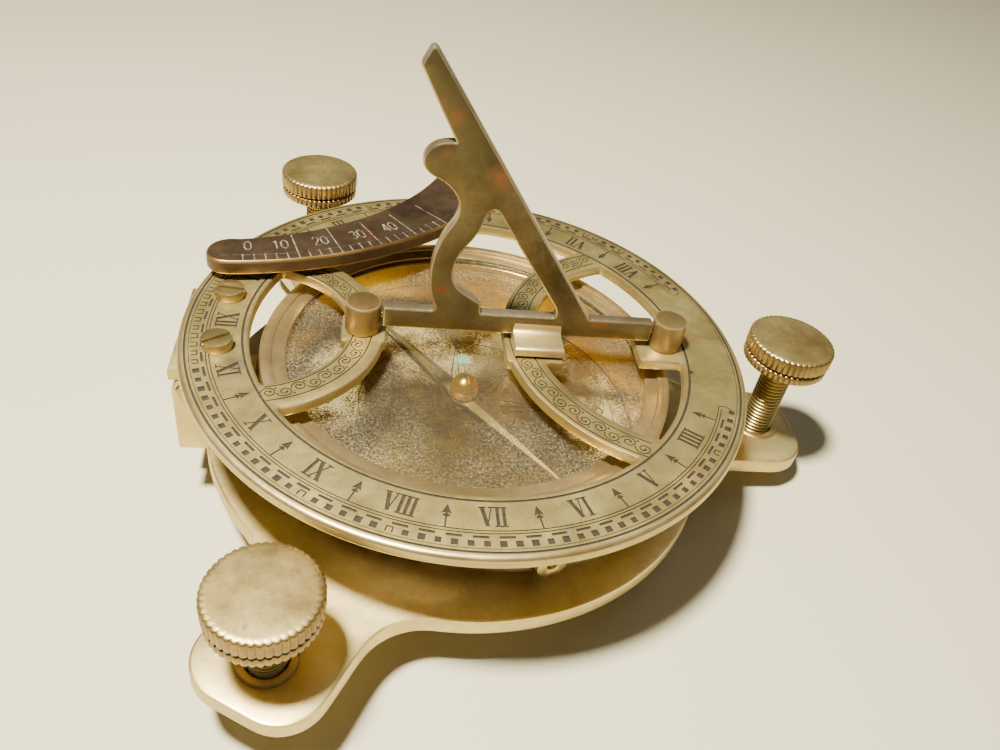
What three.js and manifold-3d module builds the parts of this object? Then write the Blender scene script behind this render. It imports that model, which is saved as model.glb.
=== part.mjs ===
// Brass horizontal sundial with a compass in its base, on three levelling screws.
// Millimetres, +Z up. The origin is the centre of the base plate's underside.
// X runs along the noon line: the dial's hinge and the XII are at -X, the gnomon's low end at +X.
import * as THREE from 'three';
import { mergeVertices } from 'three/addons/utils/BufferGeometryUtils.js';
import Module from 'manifold-3d';

const wasm = await Module();
wasm.setup();

// ---------- driving dimensions ----------
const DIAL_R = 50; // outer radius of the dial ring
const DIAL_IN_R = 38.6; // inner radius of the dial ring
const DIAL_T = 2; // thickness of the dial ring
const DIAL_TOP = 22.5; // height of the dial's upper face
const DIAL_BOTTOM = DIAL_TOP - DIAL_T;
const RIM_ROUND = 0.7; // rounding of the ring's outer edge

const LEFT_CRESCENT = { x: -38.5, inner: 16.8, outer: 22.8 }; // centre and radii of the arms
const RIGHT_CRESCENT = { x: 39, inner: 27.5, outer: 33.3 };
const LEFT_POST_X = -19.6;
const RIGHT_POST_X = 35.9;
const POST_R = 3.1;
const POST_H = 5.7;
const PIVOT_H = 3.2; // gnomon pivot above the dial
const PIVOT_Z = DIAL_TOP + PIVOT_H;
const PIVOT_R = 0.6;

const GNOMON_T = 2.2;
const BAR_LOW = 1.3; // the gnomon's foot bar, heights above the dial
const BAR_HIGH = 5.2;
const FOOT = { x0: 6.9, x1: 15.7, reach: 6.5, gap: 0.35, thick: 1.75 };

const PLATE_T = 3.2; // base plate
const PLATE_R = 46.9;
const SCREW_CIRCLE_R = 61;
const LOBE_TIP_R = 69.2;
const LOBE_HALF_W = 10.6;
const LOBE_CORNER_R = 7;
const LOBE_FILLET_R = 11;
const LOBE_ANGLES = [-120, 0, 120];

const BOX_R = 36.2; // compass box
const BOX_IN_R = 33.2;
const BOX_FLOOR = 1.25;
const BOX_TOP = 16;
const GLASS_R = 34.6;
const GLASS_T = 1.2;
const BEZEL_R = 37.2;
const BEZEL_IN_R = 32.7;
const BEZEL_TOP = 18.3;
const SEAT_GAP = 0.05; // between pieces that rest on each other

const NEEDLE_LEN = 27.5; // from the pivot to each tip
const NEEDLE_Z = 7.6;
const NEEDLE_T = 0.7;
const NEEDLE_ANGLE = -54; // where the needle's long tip points, degrees from +X

const SHAFT_R = 2.95; // levelling screws
const SHAFT_LEN = 25.1;
const BUSH_R = 3.8;
const BUSH_FLANGE_R = 4.4;
const KNOB_R = 8.1;
const KNOB_H = 5.2;
const KNOB_TOPS = [19.5, 25.5, 25.1]; // heights of the three knobs' upper faces

const HINGE = { x: -48.3, z: 16.6, r: 1.7, pinR: 0.8 }; // dial hinge, axis along Y
const HINGE_HALF_W = 12;
const KNUCKLE_HALF_W = 8.7;
const LEAF_HALF_W = 11.6;
const LEAF_BOTTOM = 18.4;

const ARC_LOW = 1.5; // latitude arc's underside above the dial
const ARC_T = 2.8;
const ARC_NEAR = { x: -51.7, y: 79.4, r: 68.4 }; // its graduated edge
const ARC_FAR = { x: -56.5, y: 74.4, r: 56.4 }; // its inner edge
const ARC_PIVOT = { y: 52.9, z: 20.9, r: 1.8, pinR: 0.7, x0: -2.1, x1: 6.9 };
const EAR_W = 2.7;

// ---------- materials ----------
function brass(name, color, roughness) {
  return new THREE.MeshStandardMaterial({ name, color, roughness, metalness: 1 });
}
const DIAL_BRASS = brass('dial_brass', 0x8f7d4c, 0.45);
const PLATE_BRASS = brass('plate_brass', 0xb19a66, 0.5);
const SCREW_BRASS = brass('screw_brass', 0xa98d50, 0.35);
const BOX_BRASS = brass('box_brass', 0xb58a2c, 0.3);
const ARC_BRONZE = brass('arc_bronze', 0x54402f, 0.5);
const NEEDLE_STEEL = new THREE.MeshStandardMaterial({
  name: 'needle_steel',
  color: 0x9a8a5a,
  roughness: 0.4,
  metalness: 1,
});
const GLASS = new THREE.MeshStandardMaterial({
  name: 'glass',
  color: 0xdfe3dc,
  roughness: 0.1,
  metalness: 0,
  transparent: true,
  opacity: 0.3,
});

// ---------- geometry helpers ----------
const rad = THREE.MathUtils.degToRad;

function solid(geometry) {
  const bare = geometry.clone();
  bare.deleteAttribute('normal');
  bare.deleteAttribute('uv');
  const merged = mergeVertices(bare, 1e-4);
  return new wasm.Manifold(
    new wasm.Mesh({
      numProp: 3,
      vertProperties: new Float32Array(merged.attributes.position.array),
      triVerts: new Uint32Array(merged.index.array),
    }),
  );
}

function geometryOf(manifold) {
  const mesh = manifold.getMesh();
  const geometry = new THREE.BufferGeometry();
  geometry.setAttribute('position', new THREE.BufferAttribute(mesh.vertProperties, 3));
  geometry.setIndex(new THREE.BufferAttribute(mesh.triVerts, 1));
  geometry.computeVertexNormals();
  return geometry;
}

// A cylinder along Z from z0 to z1.
function cylinder(r, z0, z1, x = 0, y = 0, segments = 20) {
  const geometry = new THREE.CylinderGeometry(r, r, z1 - z0, segments);
  geometry.rotateX(Math.PI / 2);
  geometry.translate(x, y, (z0 + z1) / 2);
  return solid(geometry);
}

// A cylinder along X from x0 to x1.
function rodX(r, x0, x1, y, z, segments = 16) {
  const geometry = new THREE.CylinderGeometry(r, r, x1 - x0, segments);
  geometry.rotateZ(Math.PI / 2);
  geometry.translate((x0 + x1) / 2, y, z);
  return solid(geometry);
}

// A cylinder along Y from y0 to y1.
function rodY(r, y0, y1, x, z, segments = 16) {
  const geometry = new THREE.CylinderGeometry(r, r, y1 - y0, segments);
  geometry.translate(x, (y0 + y1) / 2, z);
  return solid(geometry);
}

function block(x0, x1, y0, y1, z0, z1) {
  const geometry = new THREE.BoxGeometry(x1 - x0, y1 - y0, z1 - z0);
  geometry.translate((x0 + x1) / 2, (y0 + y1) / 2, (z0 + z1) / 2);
  return solid(geometry);
}

// A solid of revolution about Z: pairs of radius and height, anticlockwise.
function turned(profile, segments = 24) {
  const points = profile.map(([r, z]) => new THREE.Vector2(r, z));
  const geometry = new THREE.LatheGeometry(points, segments);
  geometry.rotateX(Math.PI / 2);
  return solid(geometry);
}

// A closed profile, such as a ring's, returns to its first point.
function turnedRing(profile, segments) {
  return turned([...profile, profile[0]], segments);
}

// An outline in XY, extruded from z0 upwards.
function plate(shape, z0, thickness, curveSegments = 8) {
  const options = { depth: thickness, bevelEnabled: false, curveSegments };
  const geometry = new THREE.ExtrudeGeometry(shape, options);
  geometry.translate(0, 0, z0);
  return solid(geometry);
}

// An outline in X and height, extruded along Y and centred on y = 0.
function wall(shape, thickness, curveSegments = 6) {
  const options = { depth: thickness, bevelEnabled: false, curveSegments };
  const geometry = new THREE.ExtrudeGeometry(shape, options);
  geometry.rotateX(Math.PI / 2);
  geometry.translate(0, thickness / 2, 0);
  return solid(geometry);
}

function joined(first, ...others) {
  return others.reduce((sum, other) => sum.add(other), first);
}

function cut(first, ...others) {
  return others.reduce((rest, other) => rest.subtract(other), first);
}

function mesh(name, manifold, material) {
  const piece = new THREE.Mesh(geometryOf(manifold), material);
  piece.name = name;
  return piece;
}

// A cheese-head screw along Z: its slotted head stands on the face at z, its shank goes down.
function screw(x, y, z, headR, headH, shankR, shankLen, slotAngle) {
  const slot = new THREE.BoxGeometry(headR * 3, headR * 0.28, headH);
  slot.rotateZ(rad(slotAngle));
  slot.translate(0, 0, headH * 1.05);
  const body = turned([[0, -shankLen], [shankR, -shankLen], [shankR, 0], [headR, 0],
    [headR, headH], [0, headH]], 16);
  return cut(body, solid(slot)).translate([x, y, z]);
}

// ---------- base ----------
const base = new THREE.Group();

function lobeOutline() {
  const shape = new THREE.Shape();
  const filletAcross = LOBE_HALF_W + LOBE_FILLET_R;
  const filletOut = Math.sqrt((PLATE_R + LOBE_FILLET_R) ** 2 - filletAcross ** 2);
  const filletTurn = Math.atan2(filletAcross, filletOut);
  const cornerOut = LOBE_TIP_R - LOBE_CORNER_R;
  const cornerAcross = LOBE_HALF_W - LOBE_CORNER_R;
  const point = (a, u, w) => [
    u * Math.cos(a) - w * Math.sin(a),
    u * Math.sin(a) + w * Math.cos(a),
  ];
  for (const degrees of LOBE_ANGLES) {
    const a = rad(degrees);
    shape.absarc(...point(a, filletOut, -filletAcross), LOBE_FILLET_R,
      a + Math.PI - filletTurn, a + Math.PI / 2, true);
    shape.absarc(...point(a, cornerOut, -cornerAcross), LOBE_CORNER_R, a - Math.PI / 2, a, false);
    shape.absarc(...point(a, cornerOut, cornerAcross), LOBE_CORNER_R, a, a + Math.PI / 2, false);
    shape.absarc(...point(a, filletOut, filletAcross), LOBE_FILLET_R,
      a - Math.PI / 2, a + Math.PI + filletTurn - 2 * Math.PI, true);
    shape.absarc(0, 0, PLATE_R, a + filletTurn, a + rad(120) - filletTurn, false);
  }
  return shape;
}

const boxScrews = [30, 150, 270].map((degrees) => [28 * Math.cos(rad(degrees)), 28 * Math.sin(rad(degrees))]);
const bracketScrews = [[-43, -6.3], [-43, 6.3]];
const lobeCentres = LOBE_ANGLES.map((degrees) => [
  SCREW_CIRCLE_R * Math.cos(rad(degrees)),
  SCREW_CIRCLE_R * Math.sin(rad(degrees)),
]);

let basePlate = plate(lobeOutline(), 0, PLATE_T, 5);
for (const [x, y] of lobeCentres) {
  basePlate = cut(basePlate, cylinder(BUSH_R + SEAT_GAP, -1, PLATE_T + 1, x, y));
}
for (const [x, y] of boxScrews) {
  basePlate = cut(basePlate, cylinder(1.2, -1, PLATE_T + 1, x, y, 12), cylinder(2.6, -1, 1.6, x, y, 16));
}
for (const [x, y] of bracketScrews) {
  basePlate = cut(basePlate, cylinder(1.2, -1, PLATE_T + 1, x, y, 12));
}
base.add(mesh('base_plate', basePlate, PLATE_BRASS));

'abc'.split('').forEach((letter, i) => {
  const [x, y] = lobeCentres[i];
  const flangeTop = PLATE_T + 0.45;
  const bush = turnedRing([[SHAFT_R + 0.15, 0], [BUSH_R, 0], [BUSH_R, PLATE_T + SEAT_GAP],
    [BUSH_FLANGE_R, PLATE_T + SEAT_GAP], [BUSH_FLANGE_R, flangeTop], [SHAFT_R + 0.15, flangeTop]], 24);
  base.add(mesh(`screw_bush_${letter}`, bush.translate([x, y, 0]), SCREW_BRASS));
});

// ---------- compass ----------
const boxBottom = PLATE_T + SEAT_GAP;
const boxFloorTop = boxBottom + BOX_FLOOR;
const STUD = { angle: -75, z: 9.8, r: 2.6, shankR: 1.3, end: 42.8 };

function radialRod(r, from, to, segments) {
  return rodX(r, from, to, 0, STUD.z, segments).rotate([0, 0, STUD.angle]);
}

let compassBox = turned([[0, boxBottom], [BOX_R, boxBottom], [BOX_R, BOX_TOP], [BOX_IN_R, BOX_TOP],
  [BOX_IN_R, boxFloorTop], [0, boxFloorTop]], 56);
compassBox = cut(compassBox, radialRod(STUD.shankR + 0.15, BOX_IN_R - 2, BOX_R + 2, 20));
for (const [x, y] of boxScrews) {
  compassBox = cut(compassBox, cylinder(1.2, 0, boxFloorTop + 1, x, y, 12));
}
base.add(mesh('compass_box', compassBox, BOX_BRASS));

boxScrews.forEach(([x, y], i) => {
  const upright = screw(0, 0, 0, 2.2, 1.2, 1.05, 2.9, 40 * i);
  base.add(mesh(`box_screw_${i + 1}`, upright.rotate([180, 0, 0]).translate([x, y, 1.5]), SCREW_BRASS));
});

const stud = joined(
  radialRod(STUD.r, BOX_R + SEAT_GAP * 2, STUD.end, 24),
  radialRod(STUD.shankR, BOX_IN_R + 0.3, BOX_R + 1, 20),
);
base.add(mesh('side_stud', cut(stud, radialRod(0.8, STUD.end - 0.6, STUD.end + 1, 16)), SCREW_BRASS));

const cardTop = boxFloorTop + SEAT_GAP + 0.6;
base.add(mesh('compass_card', cylinder(BOX_IN_R - 0.3, boxFloorTop + SEAT_GAP, cardTop, 0, 0, 48), BOX_BRASS));

const pivotBase = cardTop + SEAT_GAP;
const needlePivot = turned([[0, pivotBase], [1.6, pivotBase], [1.6, pivotBase + 0.6],
  [0.7, pivotBase + 0.6], [0.7, 8.2], [0, 9.5]], 20);
base.add(mesh('needle_pivot', needlePivot, NEEDLE_STEEL));

const glassBottom = BOX_TOP + 0.1;
const glassTop = glassBottom + GLASS_T;
base.add(mesh('compass_glass', cylinder(GLASS_R, glassBottom, glassTop, 0, 0, 56), GLASS));

const bezelStep = BEZEL_TOP - 0.45;
base.add(mesh('bezel_ring', turnedRing([
  [BOX_R + 0.15, BOX_TOP - 1.5], [BEZEL_R, BOX_TOP - 1.5], [BEZEL_R, BEZEL_TOP - 0.4],
  [BEZEL_R - 0.4, BEZEL_TOP], [GLASS_R + 0.5, BEZEL_TOP], [GLASS_R + 0.1, bezelStep],
  [BEZEL_IN_R + 0.2, bezelStep], [BEZEL_IN_R, bezelStep - 0.2], [BEZEL_IN_R, glassTop + 0.1],
  [GLASS_R + 0.15, glassTop + 0.1], [GLASS_R + 0.15, glassBottom], [BOX_R + 0.15, glassBottom],
], 64), PLATE_BRASS));

const needle = new THREE.Group();
const needleShape = new THREE.Shape();
needleShape.moveTo(NEEDLE_LEN, 0);
needleShape.lineTo(2.2, 1.7);
needleShape.absarc(0, 0, 2.8, Math.atan2(1.7, 2.2), Math.PI - Math.atan2(1.7, 2.2), false);
needleShape.lineTo(-NEEDLE_LEN, 0);
needleShape.lineTo(-2.2, -1.7);
needleShape.absarc(0, 0, 2.8, Math.PI + Math.atan2(1.7, 2.2), 2 * Math.PI - Math.atan2(1.7, 2.2), false);
const needleBar = cut(plate(needleShape, NEEDLE_Z, NEEDLE_T, 4), cylinder(1.2, NEEDLE_Z - 1, NEEDLE_Z + 2, 0, 0, 20));
needle.add(mesh('compass_needle', needleBar, NEEDLE_STEEL));
const capBottom = NEEDLE_Z + NEEDLE_T + SEAT_GAP;
needle.add(mesh('needle_cap', turned([[0, capBottom + 1.6], [1, capBottom], [2.7, capBottom],
  [2.7, capBottom + 1.9], [2.2, capBottom + 3.2], [1.3, capBottom + 4], [0, capBottom + 4.4]], 20), SCREW_BRASS));
needle.rotation.z = rad(NEEDLE_ANGLE);
base.add(needle);

// ---------- dial hinge ----------
const cheekTop = HINGE.z + HINGE.r - 0.1;
const cheekOut = HINGE.x - HINGE.r + 0.1;
const WALL_IN_X = -47.7;

function cheek(y0, y1) {
  return joined(
    rodY(HINGE.r - 0.1, y0, y1, HINGE.x, HINGE.z),
    block(cheekOut, -43.9, y0, y1, 5, HINGE.z),
    block(HINGE.x, -43.9, y0, y1, HINGE.z - 1, cheekTop),
  );
}

let hingeBracket = joined(
  block(cheekOut, WALL_IN_X, -HINGE_HALF_W, HINGE_HALF_W, 4, HINGE.z - HINGE.r - 0.5),
  block(cheekOut, -39.6, -HINGE_HALF_W, HINGE_HALF_W, PLATE_T + SEAT_GAP, 5.05),
  block(cheekOut, WALL_IN_X, -7, 7, -1.5, 4.5),
  cheek(-HINGE_HALF_W, -KNUCKLE_HALF_W - 0.3),
  cheek(KNUCKLE_HALF_W + 0.3, HINGE_HALF_W),
);
hingeBracket = cut(hingeBracket, rodY(HINGE.pinR + 0.15, -20, 20, HINGE.x, HINGE.z));
for (const [x, y] of bracketScrews) {
  hingeBracket = cut(hingeBracket, cylinder(1.2, 0, 8, x, y, 12));
}
base.add(mesh('hinge_bracket', hingeBracket, PLATE_BRASS));
bracketScrews.forEach(([x, y], i) => {
  const piece = screw(x, y, 5.1, 2, 1.3, 1.05, 4.6, 30 + 70 * i);
  base.add(mesh(`bracket_screw_${i + 1}`, piece, SCREW_BRASS));
});
base.add(mesh('hinge_pin', rodY(HINGE.pinR, -12.6, 12.6, HINGE.x, HINGE.z, 20), SCREW_BRASS));

// ---------- dial ----------
const dial = new THREE.Group();
const leafScrews = [[-43, 7.2, -6], [-43, -7.2, 32]];

function dialSlab(r, x = 0) {
  return cylinder(r, DIAL_BOTTOM, DIAL_TOP, x, 0, 80);
}

function crescent(arm) {
  const band = cut(dialSlab(arm.outer, arm.x), cylinder(arm.inner, 0, 50, arm.x, 0, 72));
  return band.intersect(dialSlab(DIAL_IN_R + 0.5));
}

let dialRing = turnedRing([
  [DIAL_IN_R, DIAL_BOTTOM], [DIAL_R - RIM_ROUND, DIAL_BOTTOM], [DIAL_R, DIAL_BOTTOM + RIM_ROUND],
  [DIAL_R, DIAL_TOP - RIM_ROUND], [DIAL_R - RIM_ROUND, DIAL_TOP],
  [DIAL_IN_R, DIAL_TOP],
], 80);
dialRing = joined(
  dialRing,
  crescent(LEFT_CRESCENT),
  crescent(RIGHT_CRESCENT),
  block(-23.2, -15.4, -3.8, 3.8, DIAL_BOTTOM, DIAL_TOP),
  block(5.6, 15.9, -7.2, 7.2, DIAL_BOTTOM, DIAL_TOP),
  block(30.4, DIAL_IN_R + 0.8, -5.2, 5.2, DIAL_BOTTOM, DIAL_TOP),
);
for (const x of [LEFT_POST_X, RIGHT_POST_X]) {
  dialRing = cut(dialRing, cylinder(1.75, 0, 50, x, 0, 20));
}
for (const [x, y] of leafScrews) {
  dialRing = cut(dialRing, cylinder(1.25, 0, 50, x, y, 12));
}
dial.add(mesh('dial_ring', dialRing, DIAL_BRASS));

const leafTop = DIAL_BOTTOM - SEAT_GAP;
let hingeLeaf = joined(
  block(-50.3, -39.5, -LEAF_HALF_W, LEAF_HALF_W, LEAF_BOTTOM, leafTop),
  block(HINGE.x - HINGE.r, HINGE.x + HINGE.r, -KNUCKLE_HALF_W, KNUCKLE_HALF_W, HINGE.z, LEAF_BOTTOM + 0.5),
  rodY(HINGE.r, -KNUCKLE_HALF_W, KNUCKLE_HALF_W, HINGE.x, HINGE.z),
);
hingeLeaf = cut(hingeLeaf, rodY(HINGE.pinR + 0.15, -20, 20, HINGE.x, HINGE.z));
for (const [x, y] of leafScrews) {
  hingeLeaf = cut(hingeLeaf, cylinder(1.25, 0, 50, x, y, 12));
}
dial.add(mesh('hinge_leaf', hingeLeaf, DIAL_BRASS));
leafScrews.forEach(([x, y, slotAngle], i) => {
  const piece = screw(x, y, DIAL_TOP + SEAT_GAP, 2.55, 1.7, 1.1, 3.9, slotAngle);
  dial.add(mesh(`leaf_screw_${i + 1}`, piece, SCREW_BRASS));
});

// A post stands on the dial; its spigot goes through and is riveted over a wide end.
function post(x) {
  const foot = DIAL_TOP + SEAT_GAP;
  const rivetTop = DIAL_BOTTOM - SEAT_GAP;
  return turned([[0, rivetTop - 1.5], [2.3, rivetTop - 1.5], [2.3, rivetTop], [1.6, rivetTop],
    [1.6, foot], [POST_R, foot], [POST_R, foot + POST_H - 0.3], [POST_R - 0.3, foot + POST_H],
    [0, foot + POST_H]], 20).translate([x, 0, 0]);
}

const pins = {
  left: [LEFT_POST_X - 1.4, LEFT_POST_X + POST_R + 3.3],
  right: [RIGHT_POST_X - POST_R - 3.3, RIGHT_POST_X + 1.4],
};
const postX = { left: LEFT_POST_X, right: RIGHT_POST_X };
for (const side of ['left', 'right']) {
  const [x0, x1] = pins[side];
  const bore = rodX(PIVOT_R + 0.1, x0 - 0.1, x1 + 0.1, 0, PIVOT_Z);
  dial.add(mesh(`post_${side}`, cut(post(postX[side]), bore), DIAL_BRASS));
  dial.add(mesh(`pivot_pin_${side}`, rodX(PIVOT_R, x0, x1, 0, PIVOT_Z, 16), SCREW_BRASS));
}

// ---------- gnomon ----------
function gnomonOutline() {
  const left = LEFT_POST_X + POST_R + 0.3;
  const right = RIGHT_POST_X - POST_R - 0.3;
  const shape = new THREE.Shape();
  shape.moveTo(left, BAR_LOW);
  shape.lineTo(right, BAR_LOW);
  shape.lineTo(right, BAR_HIGH);
  shape.lineTo(20.5, BAR_HIGH);
  shape.lineTo(-10.9, 49.9);
  shape.quadraticCurveTo(-11.6, 50.6, -12.1, 49.6);
  shape.lineTo(-13.2, 47.4);
  shape.lineTo(-6.9, 36.3);
  shape.bezierCurveTo(-11.4, 36.6, -13.6, 32.4, -9.8, 30.5);
  shape.bezierCurveTo(-6.4, 29.2, -4, 26, -6.2, 22.3);
  shape.bezierCurveTo(-9, 18, -10, 11, -7.2, BAR_HIGH + 0.6);
  shape.lineTo(-7.9, BAR_HIGH);
  shape.lineTo(left, BAR_HIGH);
  shape.closePath();
  const window = new THREE.Path();
  window.moveTo(0.6, BAR_HIGH);
  window.lineTo(0.4, 7.4);
  window.bezierCurveTo(-3.2, 9.6, -5.4, 10.4, -5, 14.4);
  window.bezierCurveTo(-4.5, 18.5, -1.6, 19.2, -0.9, 24.2);
  window.quadraticCurveTo(0.2, 27, 1.6, 24.6);
  window.lineTo(13.5, 7.7);
  window.quadraticCurveTo(14.3, 6.4, 14, BAR_HIGH);
  window.closePath();
  shape.holes.push(window);
  return shape;
}

// The foot is a tab bent out of the bar, which lies on the right arm of the dial.
function footTab() {
  const low = FOOT.gap;
  const shape = new THREE.Shape();
  shape.moveTo(0, low);
  shape.lineTo(0, BAR_HIGH - 0.6);
  shape.lineTo(-GNOMON_T / 2, BAR_HIGH - 0.6);
  shape.quadraticCurveTo(-GNOMON_T / 2 - 0.4, low + FOOT.thick, -3.4, low + FOOT.thick);
  shape.lineTo(-FOOT.reach, low + FOOT.thick);
  shape.lineTo(-FOOT.reach, low);
  shape.closePath();
  const options = { depth: FOOT.x1 - FOOT.x0, bevelEnabled: false, curveSegments: 6 };
  const geometry = new THREE.ExtrudeGeometry(shape, options);
  geometry.rotateX(Math.PI / 2);
  geometry.rotateZ(Math.PI / 2);
  geometry.translate(FOOT.x0, 0, 0);
  return solid(geometry);
}

let gnomonSolid = joined(wall(gnomonOutline(), GNOMON_T), footTab()).translate([0, 0, DIAL_TOP]);
for (const [x0, x1] of Object.values(pins)) {
  gnomonSolid = cut(gnomonSolid, rodX(PIVOT_R + 0.1, x0 - 0.1, x1 + 0.1, 0, PIVOT_Z));
}
dial.add(mesh('gnomon', gnomonSolid, DIAL_BRASS));

// ---------- latitude arc ----------
function arcOutline() {
  const angleAt = (circle, x) => -Math.acos((x - circle.x) / circle.r);
  const shape = new THREE.Shape();
  shape.absarc(ARC_NEAR.x, ARC_NEAR.y, ARC_NEAR.r, angleAt(ARC_NEAR, -44), angleAt(ARC_NEAR, 4), false);
  shape.lineTo(ARC_PIVOT.x1, 46);
  shape.lineTo(ARC_PIVOT.x1, ARC_PIVOT.y + ARC_PIVOT.r);
  shape.lineTo(ARC_PIVOT.x0, ARC_PIVOT.y + ARC_PIVOT.r);
  shape.absarc(ARC_FAR.x, ARC_FAR.y, ARC_FAR.r, angleAt(ARC_FAR, -5), angleAt(ARC_FAR, -43), true);
  shape.bezierCurveTo(-49.5, 20, -50, 11, ARC_NEAR.x + 7.7, ARC_NEAR.y - 67.965);
  return shape;
}

const arcBottom = DIAL_TOP + ARC_LOW;
const knuckle = { x0: ARC_PIVOT.x0 + 0.3, x1: ARC_PIVOT.x1 - 0.3 };
let latitudeArc = joined(
  plate(arcOutline(), arcBottom, ARC_T, 10),
  block(knuckle.x0, knuckle.x1, ARC_PIVOT.y - ARC_PIVOT.r, ARC_PIVOT.y + ARC_PIVOT.r, ARC_PIVOT.z, arcBottom + 0.5),
  rodX(ARC_PIVOT.r, knuckle.x0, knuckle.x1, ARC_PIVOT.y, ARC_PIVOT.z),
);
latitudeArc = cut(latitudeArc, rodX(ARC_PIVOT.pinR + 0.1, -20, 20, ARC_PIVOT.y, ARC_PIVOT.z));
dial.add(mesh('latitude_arc', latitudeArc, ARC_BRONZE));

const bracketTop = DIAL_BOTTOM - SEAT_GAP;
const bracketBottom = bracketTop - 1.5;
const ears = [[ARC_PIVOT.x0 - EAR_W, ARC_PIVOT.x0], [ARC_PIVOT.x1, ARC_PIVOT.x1 + EAR_W]];
const arcScrews = [[-1.6, 45], [6.4, 45]];
let arcBracket = block(ears[0][0], ears[1][1], 41, 49.6, bracketBottom, bracketTop);
for (const [x0, x1] of ears) {
  arcBracket = joined(
    arcBracket,
    block(x0, x1, 49, ARC_PIVOT.y, ARC_PIVOT.z - ARC_PIVOT.r, bracketTop),
    rodX(ARC_PIVOT.r, x0, x1, ARC_PIVOT.y, ARC_PIVOT.z),
  );
}
arcBracket = cut(arcBracket, rodX(ARC_PIVOT.pinR + 0.1, -20, 20, ARC_PIVOT.y, ARC_PIVOT.z));
for (const [x, y] of arcScrews) {
  arcBracket = cut(arcBracket, cylinder(1.15, 0, 50, x, y, 12));
  dialRing = cut(dialRing, cylinder(1.15, 0, DIAL_TOP - 0.6, x, y, 12));
}
dial.getObjectByName('dial_ring').geometry = geometryOf(dialRing);
dial.add(mesh('arc_bracket', arcBracket, ARC_BRONZE));
arcScrews.forEach(([x, y], i) => {
  const piece = screw(0, 0, 0, 1.9, 1.1, 0.95, 2.6, 25 + 60 * i).rotate([180, 0, 0]);
  dial.add(mesh(`arc_screw_${i + 1}`, piece.translate([x, y, bracketBottom - SEAT_GAP]), SCREW_BRASS));
});
const pinEnds = [ears[0][0] - 0.4, ears[1][1] + 0.4];
dial.add(mesh('arc_pin', rodX(ARC_PIVOT.pinR, ...pinEnds, ARC_PIVOT.y, ARC_PIVOT.z, 16), SCREW_BRASS));

// ---------- levelling screws ----------
const feet = new THREE.Group();

function levellingScrew(letter, x, y, knobTop) {
  const knobBottom = knobTop - KNOB_H;
  const shaft = turned([[0, -SHAFT_LEN], [1.2, -SHAFT_LEN], [SHAFT_R, -SHAFT_LEN + 1.6],
    [SHAFT_R, -SEAT_GAP], [1.4, -SEAT_GAP], [1.4, KNOB_H * 0.6], [0, KNOB_H * 0.6]], 20);
  const knob = turned([[0, KNOB_H * 0.6 + SEAT_GAP], [1.5, KNOB_H * 0.6 + SEAT_GAP], [1.5, 0], [KNOB_R - 0.4, 0],
    [KNOB_R - 0.1, 0.3], [KNOB_R - 0.1, 1.7], [KNOB_R - 0.6, 1.95],
    [KNOB_R, 2.2], [KNOB_R, KNOB_H - 0.4], [KNOB_R - 0.4, KNOB_H], [0, KNOB_H]], 36);
  const group = new THREE.Group();
  group.add(mesh(`screw_shaft_${letter}`, shaft, SCREW_BRASS));
  group.add(mesh(`screw_knob_${letter}`, knob, SCREW_BRASS));
  group.position.set(x, y, knobBottom);
  return group;
}

'abc'.split('').forEach((letter, i) => {
  const [x, y] = lobeCentres[i];
  feet.add(levellingScrew(letter, x, y, KNOB_TOPS[i]));
});

const sundial = new THREE.Group();
sundial.add(base, dial, feet);

export default sundial;
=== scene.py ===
"""Visual model of a brass pocket sundial with a compass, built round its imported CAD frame.

Lengths in this script are millimetres in the CAD frame and become metres as each mesh is made.
"""
import math
import random

import bmesh
import bpy
from mathutils import Matrix, Vector
from mathutils.geometry import delaunay_2d_cdt


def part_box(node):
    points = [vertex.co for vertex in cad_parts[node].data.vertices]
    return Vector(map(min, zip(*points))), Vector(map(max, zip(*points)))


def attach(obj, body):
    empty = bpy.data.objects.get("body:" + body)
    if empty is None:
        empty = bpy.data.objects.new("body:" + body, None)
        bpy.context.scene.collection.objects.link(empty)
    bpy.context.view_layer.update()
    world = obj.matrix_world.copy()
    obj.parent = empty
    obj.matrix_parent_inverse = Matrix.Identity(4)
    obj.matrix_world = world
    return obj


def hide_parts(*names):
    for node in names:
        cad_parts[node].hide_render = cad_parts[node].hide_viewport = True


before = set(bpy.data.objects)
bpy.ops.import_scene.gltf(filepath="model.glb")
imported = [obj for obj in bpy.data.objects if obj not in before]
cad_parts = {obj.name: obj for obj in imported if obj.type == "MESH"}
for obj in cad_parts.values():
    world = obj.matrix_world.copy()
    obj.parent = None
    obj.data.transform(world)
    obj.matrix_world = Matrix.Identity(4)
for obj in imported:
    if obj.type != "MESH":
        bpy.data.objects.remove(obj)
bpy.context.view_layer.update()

MM = 0.001
TAU = 2 * math.pi


def node_box(name):
    low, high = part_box(name)
    return low / MM, high / MM


# ---------- sizes, from the frame ----------
ring_low, ring_high = node_box("dial_ring")
DIAL_R = ring_high.x
DIAL_TOP = ring_high.z
DIAL_BOTTOM = ring_low.z
DIAL_IN_R = 38.6
# Each arm is a stretch of a ring: its centre's x, inner radius and outer radius.
LEFT_ARM = (-38.5, 16.8, 22.8)
RIGHT_ARM = (39.0, 27.5, 33.3)
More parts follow.
